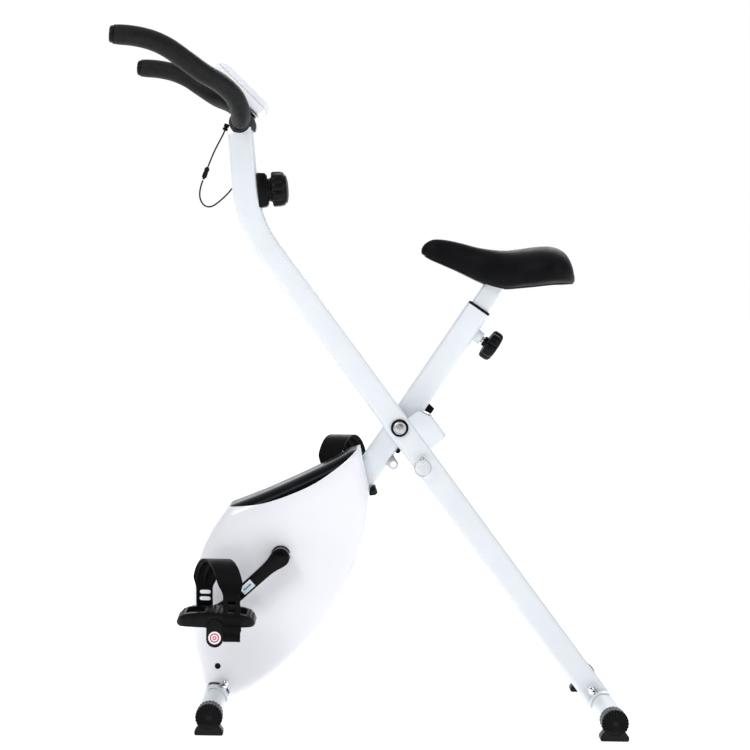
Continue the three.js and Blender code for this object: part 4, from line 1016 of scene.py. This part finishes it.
def tension_knob():
    origin = joint_point("tension_turn") - top_line.across * 20

    def block(low, high, near, far, half, edge):
        corners = ((low, near), (high, near), (high - 1.5, far), (low + 1.5, far))
        outline = [top_line.flat(TENSION_DOWN + a, b) for a, b in corners]
        return prism("block", outline, REAR_Y - half, REAR_Y + half, edge)
    base = block(-28, 28, 20 + GAP, 34, 19, 1.5)
    flange = lathe("flange", [(4.3, 33.5), (20, 33.5), (20, 36), (18.6, 37), (18.6, 40), (20, 41), (20, 42),
                              (4.3, 42)],
                   origin, top_line.across, 64)
    plate = block(-25, 25, 33, 36, 17.5, 0.8)
    base = merged(base, plate, flange)
    base.name = "tension_housing"
    piece(base, "rear_frame", BLACK_PLASTIC, "black_plastic", "tension_base")
    profile = [(0, 32), (4, 32), (4, 42.5), (25, 42.5), (27.4, 43.2), (28.5, 45), (28.5, 50), (28.3, 56),
               (27.4, 60), (26, 62.6), (24.6, 62.0), (23.8, 63.8), (22, 66.2), (18, 67.4), (12, 68.6),
               (6, 69), (0, 69)]
    knob = lathe("tension_dial", profile, origin, top_line.across, 144, lobes(9, 0.11, 43, 62.4, 0.6))
    piece(knob, "tension_knob", BLACK_PLASTIC, "black_plastic", "tension_knob")


def cockpit():
    handlebar()
    clamp_cover()
    console()
    tension_knob()


# ---------------------------------------------------------------- saddle, its post and the height knob
# Cross-sections of the cushion from nose to back: x, top, bottom edge and half width.
SADDLE = [(85.5, 750, 741, 6), (90, 757, 738, 11.5), (102, 764.3, 731, 16.5), (120, 764.8, 723.3, 19.3),
          (146, 760.4, 712, 24), (177, 753, 697.5, 34), (200, 750.2, 688.5, 50), (222, 749.4, 685, 68),
          (245, 752.4, 687, 84), (267, 755.7, 689.5, 94), (286, 756.7, 692, 97), (301, 754, 693.5, 93),
          (314, 746, 694, 82), (323.5, 731, 695, 66), (328.5, 714, 697, 45)]


def saddle_edge(top, bottom, half, x, turn):
    """A point of the crowned section: soft shoulders, sides that pull in under them, and a flat underside."""
    widest = bottom + 0.36 * (top - bottom)
    side, rise = math.cos(turn), math.sin(turn)
    if rise >= 0:
        spread = math.copysign(abs(side) ** 0.72, side)
        dish = 1.6 * math.exp(-(spread * 2.6) ** 2) * min(1, half / 60)
        return vec(x, FRONT_Y + half * spread, widest + (top - widest) * rise ** 0.92 - dish * rise)
    spread = math.copysign(abs(side) ** 0.55, side) * (1 - 0.10 * abs(rise) ** 1.4)
    return vec(x, FRONT_Y + half * spread, widest - (widest - bottom) * abs(rise) ** 0.35)


def saddle_section(top, bottom, half, x, count=56):
    return [saddle_edge(top, bottom, half, x, 2 * math.pi * i / count) for i in range(count)]


def saddle():
    """Moulded foam saddle with a stretched skin, on a hard base with a rolled rim."""
    heights = catmull([(x, top, bottom) for x, top, bottom, half in SADDLE], 72)
    widths = catmull([(x, half, 0) for x, top, bottom, half in SADDLE], 72)

    def half_at(x):
        for a, b in zip(widths, widths[1:]):
            if a.x <= x <= b.x:
                return a.y + (b.y - a.y) * (x - a.x) / max(b.x - a.x, 1e-6)
        return widths[-1].y

    rings = [saddle_section(h.y, h.z, half_at(h.x), h.x) for h in heights]
    first, last = heights[0], heights[-1]
    nose = [[p.lerp(vec(first.x + 0.4, FRONT_Y, (first.y + first.z) / 2), share) - vec(lean, 0, 0)
             for p in rings[0]]
            for share, lean in ((0.85, 0.9), (0.55, 0.7), (0.25, 0.4))]
    tail = [[p.lerp(vec(last.x, FRONT_Y, (last.y + last.z) / 2), share) + vec(lean, 0, 0) for p in rings[-1]]
            for share, lean in ((0.12, 0.9), (0.35, 1.8), (0.7, 2.3), (0.95, 2.4))]
    cushion = loft("saddle_cushion", [*nose, *rings, *tail])
    zone = prism("zone", [(188, 640), (262, 640), (262, 694), (238, 697), (190, 703), (188, 703)], -32, 32)
    cut(cushion, zone)
    piece(cushion, "seat_slide", SADDLE_SKIN, "saddle_skin", "saddle", angle=50)
    low = math.asin(0.75)
    stations = heights[3:-3:2]
    left = [saddle_edge(h.y, h.z, half_at(h.x), h.x, math.pi + low) for h in stations]
    right = [saddle_edge(h.y, h.z, half_at(h.x), h.x, -low) for h in reversed(stations)]
    loop = left + right
    rings = []
    for i, spot in enumerate(loop):
        heading = (loop[(i + 1) % len(loop)] - loop[i - 1]).normalized()
        side = heading.cross(vec(0, 0, 1)).normalized()
        up = side.cross(heading)
        rings.append([spot + side * (1.5 * u) + up * (1.5 * v) for u, v in circle(1, 10)])
    rim = loft("saddle_rim", rings, wrap=True)
    piece(rim, "seat_slide", BLACK_PLASTIC, "black_plastic")


# Where the post ends and the stub under the saddle's plate begins, along the seat line.
STUB_LOW = 262
SEAT_POST, SEAT_POST_CORNER = 30, 4.5


def seat_post():
    post = square_tube("saddle_post", [seat_line.at(28, 0, FRONT_Y), seat_line.at(STUB_LOW, 0, FRONT_Y)],
                       SEAT_POST, SEAT_POST_CORNER, 1.5)
    piece(post, "seat_slide", WHITE_PAINT, "white_paint", "seat_post")
    plate = prism("saddle_clamp_plate", [(192, 702.0), (238, 696.3), (258, 693.8), (258, 690.8), (238, 693.3),
                                         (192, 699.0)], -28, 28, 0.5, 2)
    stub = sweep("stub", rounded_square(SEAT_POST, SEAT_POST_CORNER),
                 [seat_line.at(STUB_LOW, 0, FRONT_Y), seat_line.at(302, 0, FRONT_Y)])
    below = prism("below", [(150, 600), (280, 600), (280, 688), (258, 691.5), (238, 694.3), (190, 700.3),
                            (150, 700)],
                  -60, 60)
    combine(stub, "INTERSECT", below)
    plate = merged(plate, stub)
    piece(plate, "seat_slide", WHITE_PAINT, "white_paint", "saddle_plate")


def seat_knob():
    origin = seat_line.at(KNOB_UP, 0, FRONT_Y)
    shaft = lathe("height_pin", [(0, 15.5), (3, 15.5), (4, 16.5), (4, 32), (6, 32), (6, 35.4), (0, 35.4)],
                  origin, seat_line.across, 32)
    piece(shaft, "seat_pin", STEEL, "steel", "seat_pin")
    profile = [(0, 35.7), (7.8, 35.7), (8.4, 36.2), (8.6, 39.6), (9.8, 40.4), (14, 41), (20, 41), (23, 41.8),
               (24.6, 43.6), (25, 46.5), (25, 53), (24.4, 56), (22.6, 58.8), (19.6, 60.4), (15, 60.9),
               (12.6, 60.5), (11.6, 59.8), (6, 60.2), (0, 60.4)]
    knob = lathe("height_knob", profile, origin, seat_line.across, 144, lobes(6, 0.15, 40.8, 61, 0.5))
    piece(knob, "seat_knob", BLACK_PLASTIC, "black_plastic", "seat_knob")


# ---------------------------------------------------------------- casing
CASING_HALF = 60
FRONT_EDGE = [(-220, 330), (-248, 287), (-266.5, 240), (-274.5, 190), (-275.5, 145), (-270, 102), (-258, 60),
              (-253, 31)]
BOTTOM_EDGE = [(-207, 26.5), (-185, 34), (-150, 57), (-105, 97), (-65, 142), (-31, 200), (-7.5, 257),
               (4.5, 310), (5.5, 360), (-2, 395), (-9, 428)]
CROWN = [(-24, 423.5), (-61, 402.5), (-121, 373), (-163, 354), (-196, 340.5)]
COVER_LINE = [(-222, 331), (-190, 334), (-162, 338.8), (-120, 353.3), (-84, 370.3), (-55, 389.8),
              (-31, 409.5), (-10, 431.5)]
CASING_MIDDLE = (-130, 215)
CASING_SCREW = (-231.7, 79)
CASING_REACH = 105


def flat_curve(points, count):
    return [(p.x, p.y) for p in catmull([(x, z, 0) for x, z in points], count)]


def casing_body(name, inset):
    """The whole closed body: flat rim, rounded shoulders and slightly crowned sides."""
    outline = (flat_curve(FRONT_EDGE, 40)[:-1] + [FRONT_EDGE[-1]] + flat_curve(BOTTOM_EDGE, 56)[:-1]
               + [BOTTOM_EDGE[-1]] + flat_curve([*CROWN, (-214, 333.5)], 30))
    profile = [(0, 1), (26, 1), (38, 1), (44, 0.993), (49, 0.980), (53, 0.962), (55.6, 0.944), (57.4, 0.925),
               (58.6, 0.903), (59.4, 0.878), (60.2, 0.82), (60.8, 0.72), (61.2, 0.58), (61.5, 0.42),
               (61.6, 0.26), (61.7, 0.12), (61.7, 0.05)]
    rings = []
    for y, share in [(-y, share) for y, share in profile[::-1]] + profile[1:]:
        scale = share * (1 - inset / CASING_REACH)
        rings.append([vec(CASING_MIDDLE[0] + (x - CASING_MIDDLE[0]) * scale,
                          FRONT_Y + y * (1 - inset / CASING_HALF),
                          CASING_MIDDLE[1] + (z - CASING_MIDDLE[1]) * scale) for x, z in outline])
    return loft(name, rings)


def above_line(shift):
    line = [(x, z + shift) for x, z in flat_curve(COVER_LINE, 40)]
    return prism("above", [*line, (40, 520), (-300, 520), (-300, 330 + shift)], -150, 150)


def screw_cap(name, x, z, side, radius=4.6):
    """A recessed black screw in the side of the casing."""
    depth = CASING_HALF - 1.2
    out = vec(0, side, 0)
    head = lathe(name, [(0, 0), (radius, 0), (radius, 2.6), (radius - 0.7, 3.0), (radius - 1.2, 2.7),
                        (2.2, 2.5), (2.0, 1.2), (0, 1.2)], vec(x, side * (depth - 0.6), z), out, 36)
    piece(head, "front_frame", BLACK_PLASTIC, "black_plastic")


def casing():
    shell = casing_body("casing_shell", 0)
    cut(shell, casing_body("core", 2.5), above_line(-GAP / 2),
        cross_pin(BRACKET_RADIUS + 3.5, FRONT_FOOT.x, FRONT_FOOT.z, sides=64),
        cross_pin(15.5, CRANK.x, CRANK.z, sides=64), cross_pin(4.8, *CASING_SCREW),
        sweep("leg", rounded_square(TUBE + 2, TUBE_CORNER),
              [seat_line.at(p, 0, FRONT_Y) for p in (-600, 200)]))
    left, right = halved(shell, vec(0, FRONT_Y, 0), vec(0, 1, 0), 0.5)
    for name, half in (("left", left), ("right", right)):
        half.name = f"casing_shell_{name}"
        piece(half, "front_frame", WHITE_PLASTIC, "white_plastic", f"casing_{name}", angle=24)
    cover = casing_body("casing_cover", 0)
    cut(cover, casing_body("core", 2.5))
    combine(cover, "INTERSECT", above_line(GAP / 2))
    piece(cover, "front_frame", BLACK_GLOSS, "black_gloss", "casing_top_cover", angle=45)
    for name, sign in SIDES:
        screw_cap(f"casing_screw_{name}", *CASING_SCREW, sign)
        collar = lathe(f"hub_ring_{name}",
                       [(15.9, 56.5), (18.3, 60.9), (18.3, 61.6), (17.8, 61.9), (16.6, 60.6), (15.2, 56.5)],
                       vec(CRANK.x, FRONT_Y, CRANK.z), vec(0, sign, 0), 64)
        piece(collar, "front_frame", WHITE_PLASTIC, "white_plastic")


# ---------------------------------------------------------------- drive inside the casing
def drive():
    """The hidden drive keeps its CAD shapes, with turned and moulded finishes."""
    for node, look in (("flywheel", CAST_IRON), ("flywheel_axle", STEEL), ("magnet_stay", STEEL),
                       ("magnet_bracket", STEEL), ("drive_belt", RUBBER), ("drive_pulley", BLACK_PLASTIC),
                       ("crank_housing", STEEL), ("crank_bearing_left", CHROME),
                       ("crank_bearing_right", CHROME), ("crank_axle", STEEL)):
        obj = frame["nodes"][node]
        obj.data.materials.clear()
        obj.data.materials.append(look)


# ---------------------------------------------------------------- cranks, pedals and straps
ARM_IN, ARM_OUT, HUB_IN = 83, 98, 64
PEDAL_IN, PEDAL_OUT = 110, 195
SPINDLE_RADIUS = 6


def span(side, near, far):
    return sorted((FRONT_Y + side * near, FRONT_Y + side * far))


def crank_arm(name, side):
    """Forged arm: a round hub that narrows into a flat bar, with a round eye at the pedal."""
    end = joint_point(f"pedal_{name}_spin")
    axis = vec(end.x - CRANK.x, 0, end.z - CRANK.z)
    reach, out = axis.length, axis.normalized()
    up = vec(-out.z, 0, out.x)
    stations = [(-14.6, 0.1, 0), (-13.6, 5.6, 0), (-10.8, 10, 0), (-6, 13.4, 0), (0, 14.8, 0), (8, 13.6, 0.3),
                (16, 11.6, 1), (26, 10.2, 1), (45, 9.6, 1), (80, 9.4, 1), (reach - 16, 9.7, 1),
                (reach - 9, 11, 1), (reach, 12, 1), (reach + 6, 10.4, 1), (reach + 10, 6.8, 1),
                (reach + 12, 0.3, 1)]
    spots = catmull([(along, half, 0) for along, half, _ in stations], 60)
    top = [out * s.x + up * s.y for s in spots]
    bottom = [out * s.x - up * s.y for s in spots[::-1]]
    outline = [(CRANK.x + p.x, CRANK.z + p.z) for p in top + bottom]
    arm = prism(f"crank_{name}", outline, *span(side, ARM_IN, ARM_OUT), 3.2, 5)
    hub = lathe("hub", [(0, HUB_IN), (12.6, HUB_IN), (13.4, HUB_IN + 1), (14, HUB_IN + 8), (14.5, ARM_IN + 2),
                        (14.6, ARM_OUT - 3), (13.8, ARM_OUT - 0.8), (11.4, ARM_OUT), (11, ARM_OUT - 0.8),
                        (10.6, ARM_OUT), (8, ARM_OUT + 0.8), (0, ARM_OUT + 1)],
                vec(CRANK.x, FRONT_Y, CRANK.z), vec(0, side, 0), 64)
    eye = lathe("eye", [(SPINDLE_RADIUS + GAP, ARM_IN - 1), (11.4, ARM_IN - 1), (12, ARM_IN),
                        (12, ARM_OUT - 0.8), (11.2, ARM_OUT), (SPINDLE_RADIUS + GAP, ARM_OUT)],
                vec(end.x, FRONT_Y, end.z), vec(0, side, 0), 48)
    way = cross_pin(SPINDLE_RADIUS + GAP, end.x, end.z, *span(side, ARM_IN - 5, ARM_OUT + 5))
    piece(merged(cut(arm, way), hub, eye), "crank", BLACK_PAINT, "black_paint", f"crank_arm_{name}")
    sticker(name, side, out, up)


def sticker(name, side, out, up):
    """A plain label with one coloured bar, stuck on the arm's outer face."""
    centre = vec(CRANK.x, 0, CRANK.z) + out * 69

    def patch(title, points, low, high, look):
        outline = [(centre.x + out.x * u + up.x * v, centre.z + out.z * u + up.z * v) for u, v in points]
        piece(prism(title, outline, *span(side, low, high)), "crank", look, "white_plastic")
    patch(f"arm_label_{name}", [(-11, -6.6), (11, -6.6), (11, 6.6), (-11, 6.6)], ARM_OUT - 0.1,
          ARM_OUT + 0.15, LABEL_WHITE)
    patch(f"arm_label_mark_{name}", [(-7.5, -1.4), (7.5, -1.4), (7.5, 1.4), (-7.5, 1.4)],
          ARM_OUT + 0.1, ARM_OUT + 0.25, LABEL_BLUE)


def pedal(name, side):
    """Platform with a toothed tread, two windows and the weight that keeps it level."""
    centre = joint_point(f"pedal_{name}_spin")
    body = f"pedal_{name}"
    half = (PEDAL_OUT - PEDAL_IN) / 2
    mid = side * (PEDAL_IN + half)
    top = [(-60, -2), (-58, 4), (-54, 8), (-47, 11.4), (-40, 13), (-27, 14), (-14, 14.3), (20, 14.3),
           (34, 13), (44, 11.2), (53, 8), (58, 4), (61, -3)]
    bottom = [(58.5, -6), (55, -7), (16, -8), (10, -9.5), (-10, -9.5), (-16, -8), (-54, -7), (-58, -5)]
    side_view = [(centre.x + x, centre.z + z) for x, z in top + bottom]
    deck = prism(f"pedal_platform_{name}", side_view, mid - half, mid + half)
    plan = loft("plan", [[vec(centre.x + x, mid + y, centre.z + h) for x, y in
                          rounded_rectangle(124, 2 * half, 22, 8)] for h in (-30, 40)])
    plan.data.transform(Matrix.Translation((0.0005, 0, 0)))
    combine(deck, "INTERSECT", plan)
    windows = [loft("window", [[vec(centre.x + (low + high) / 2 + x, mid + y, centre.z + h) for x, y in
                                rounded_rectangle(high - low, 2 * half - 28, 4)] for h in (-20, 30)])
               for low, high in ((-46, -17), (17, 47))]
    cut(deck, *windows, cross_pin(SPINDLE_RADIUS + GAP, centre.x, centre.z,
                                  *span(side, PEDAL_IN - 2, PEDAL_OUT - 6)))
    bevel(deck, 1.2, 2, 50)
    piece(merged(deck, *treads(centre, side)), body, BLACK_PLASTIC, "black_plastic", f"pedal_{name}")
    low, high = span(side, PEDAL_OUT - 16, PEDAL_OUT + 4.4)
    weight = prism(f"pedal_weight_{name}", [(centre.x + x, centre.z + z) for x, z in
                                            obround((0, -25), (0, -8), 13, 20)], low, high, 1.8, 4)
    piece(weight, body, BLACK_PLASTIC, "black_plastic")
    disc = vec(centre.x, side * (PEDAL_OUT + 4.1), centre.z - 23)
    out = vec(0, side, 0)
    piece(lathe(f"pedal_label_{name}", [(0, 0), (9.6, 0), (9.6, 0.45), (0, 0.5)], disc, out), body,
          LABEL_WHITE, "white_plastic")
    for mark, inner, outer in (("ring", 5.2, 7.1), ("dot", 1.4, 3.0)):
        ring = lathe(f"pedal_label_{mark}_{name}", [(inner, 0.3), (outer, 0.3), (outer, 0.62), (inner, 0.62)],
                     disc, out)
        piece(ring, body, LABEL_RED, "white_plastic")


def treads(centre, side):
    """Rows of small teeth along the platform's two cross bars and edges."""
    bars = []
    for x, height, near, far in ((-56, 4.4, 20, 66), (-51, 8.4, 8, 77), (12.5, 14.1, 3, 82),
                                 (-11, 14.1, 3, 82), (5, 14.1, 3, 82), (-3.5, 14.1, 3, 82),
                                 (51.5, 8.0, 8, 77), (56.5, 4.2, 20, 66)):
        teeth = []
        steps = int((far - near) / 4)
        for i in range(steps):
            y = near + (far - near) * i / steps
            pitch = (far - near) / steps
            teeth += [(y, height + 0.4), (y + pitch * 0.25, height + 1.9), (y + pitch * 0.62, height + 1.9)]
        teeth += [(far, height + 0.4), (far, height - 2.5), (near, height - 2.5)]
        rings = [[vec(centre.x + x + dx, FRONT_Y + side * (PEDAL_IN + y), centre.z + z) for y, z in teeth]
                 for dx in (-1.5, 1.5)]
        bars.append(loft("teeth", rings))
    return bars


STRAP_THICK = 2.6
STRAP_TOP = 92


def strap_path(side, count=60):
    """The strap's middle line about the spindle: up the inner leg, over the foot and down the outer leg."""
    inner, outer = PEDAL_IN - 0.5 - STRAP_THICK / 2, PEDAL_OUT + 0.5 + STRAP_THICK / 2
    middle_y, reach = (inner + outer) / 2, (outer - inner) / 2
    rise = STRAP_TOP - STRAP_THICK / 2 - 34
    arch = [(middle_y + reach * math.cos(t), 34 + rise * math.sin(t))
            for t in (math.pi - math.pi * i / 36 for i in range(37))]
    spots = [(inner, -6), (inner, 14), *arch, (outer, 14), (outer, -29)]
    path = spaced([vec(0, y, z) for y, z in spots], count)
    lean = 45 / (PEDAL_OUT - PEDAL_IN)
    return [vec(-20 + lean * (p.y - PEDAL_IN) - 2.2 * max(p.z / STRAP_TOP, 0), side * p.y, p.z) for p in path]


def toe_strap(name, side):
    """Moulded strap: ridged and wide over the foot, narrow legs with slots, and a stepped tail."""
    centre = joint_point(f"pedal_{name}_spin")
    centre = vec(centre.x, FRONT_Y, centre.z)
    path = strap_path(side, 96)
    rings = []
    for i, spot in enumerate(path):
        heading = path[min(i + 1, len(path) - 1)] - path[max(i - 1, 0)]
        heading = vec(0, heading.y, heading.z).normalized()
        normal = vec(0, -heading.z, heading.y) * side * -1
        wide = min(max((spot.z - 40) / 22, 0), 1)
        wide = wide * wide * (3 - 2 * wide)
        half = 13 + 6.5 * wide
        points = []
        for k in range(-12, 13):
            u = k / 12
            ridge = 1.5 * wide * max(0, math.cos(math.pi * 3 * u)) ** 2
            points.append((u * half, STRAP_THICK / 2 + ridge))
        points += [(u * half / 12, -STRAP_THICK / 2) for u in range(12, -13, -4)]
        rings.append([centre + spot + vec(u, 0, 0) + normal * v for u, v in points])
    strap = loft(f"toe_strap_band_{name}", rings)
    inner = side * (PEDAL_IN - 0.5)
    holes = []
    for z in (24.2, 34.5):
        slot = obround((centre.x - 26, centre.z + z), (centre.x - 15, centre.z + z), 3.1, 8)
        holes.append(prism("slot", slot, *sorted((inner - 8, inner + 8))))
    outer = side * (PEDAL_OUT + 0.5)
    for z in (18, 30):
        slot = obround((centre.x + 21, centre.z + z), (centre.x + 29, centre.z + z), 3.0, 8)
        holes.append(prism("slot", slot, *sorted((outer - 8, outer + 8))))
    cut(strap, *holes)
    piece(strap, f"pedal_{name}", RUBBER, "rubber", f"toe_strap_{name}", angle=40)
    x = centre.x + 26.5
    buckle = []
    for low, high, half, thick in ((1, 11, 13.4, 3.8), (-14, -4, 13.8, 4.2), (-29, -18, 12.4, 3.4)):
        outline = [(x - half, centre.z + low), (x + half, centre.z + low), (x + half, centre.z + high),
                   (x - half, centre.z + high)]
        buckle.append(prism(f"strap_steps_{name}", outline,
                            *sorted((outer + side * 0.4, outer + side * thick)), 0.8, 2))
    piece(merged(*buckle), f"pedal_{name}", RUBBER, "rubber")


def cranks():
    for name, side in SIDES:
        crank_arm(name, side)
        pedal(name, side)
        toe_strap(name, side)
        end = joint_point(f"pedal_{name}_spin")
        flats = lathe("flats", [(0, ARM_OUT + GAP), (9, ARM_OUT + GAP), (9, ARM_OUT + 4), (0, ARM_OUT + 4)],
                      vec(end.x, FRONT_Y, end.z), vec(0, side, 0), 6)
        shaft = lathe("shaft", [(0, ARM_IN + 2), (SPINDLE_RADIUS - 1, ARM_IN + 2),
                                (SPINDLE_RADIUS, ARM_IN + 3), (SPINDLE_RADIUS, PEDAL_OUT - 8),
                                (SPINDLE_RADIUS - 1, PEDAL_OUT - 7), (0, PEDAL_OUT - 7)],
                      vec(end.x, FRONT_Y, end.z), vec(0, side, 0), 32)
        spindle = merged(bevel(flats, 0.4, 2), shaft)
        spindle.name = f"spindle_{name}"
        piece(spindle, "crank", STEEL, "steel", f"pedal_spindle_{name}")


camera()
studio()
sensor_lead()
feet()
frame_tubes()
cockpit()
saddle()
seat_post()
seat_knob()
casing()
drive()
cranks()
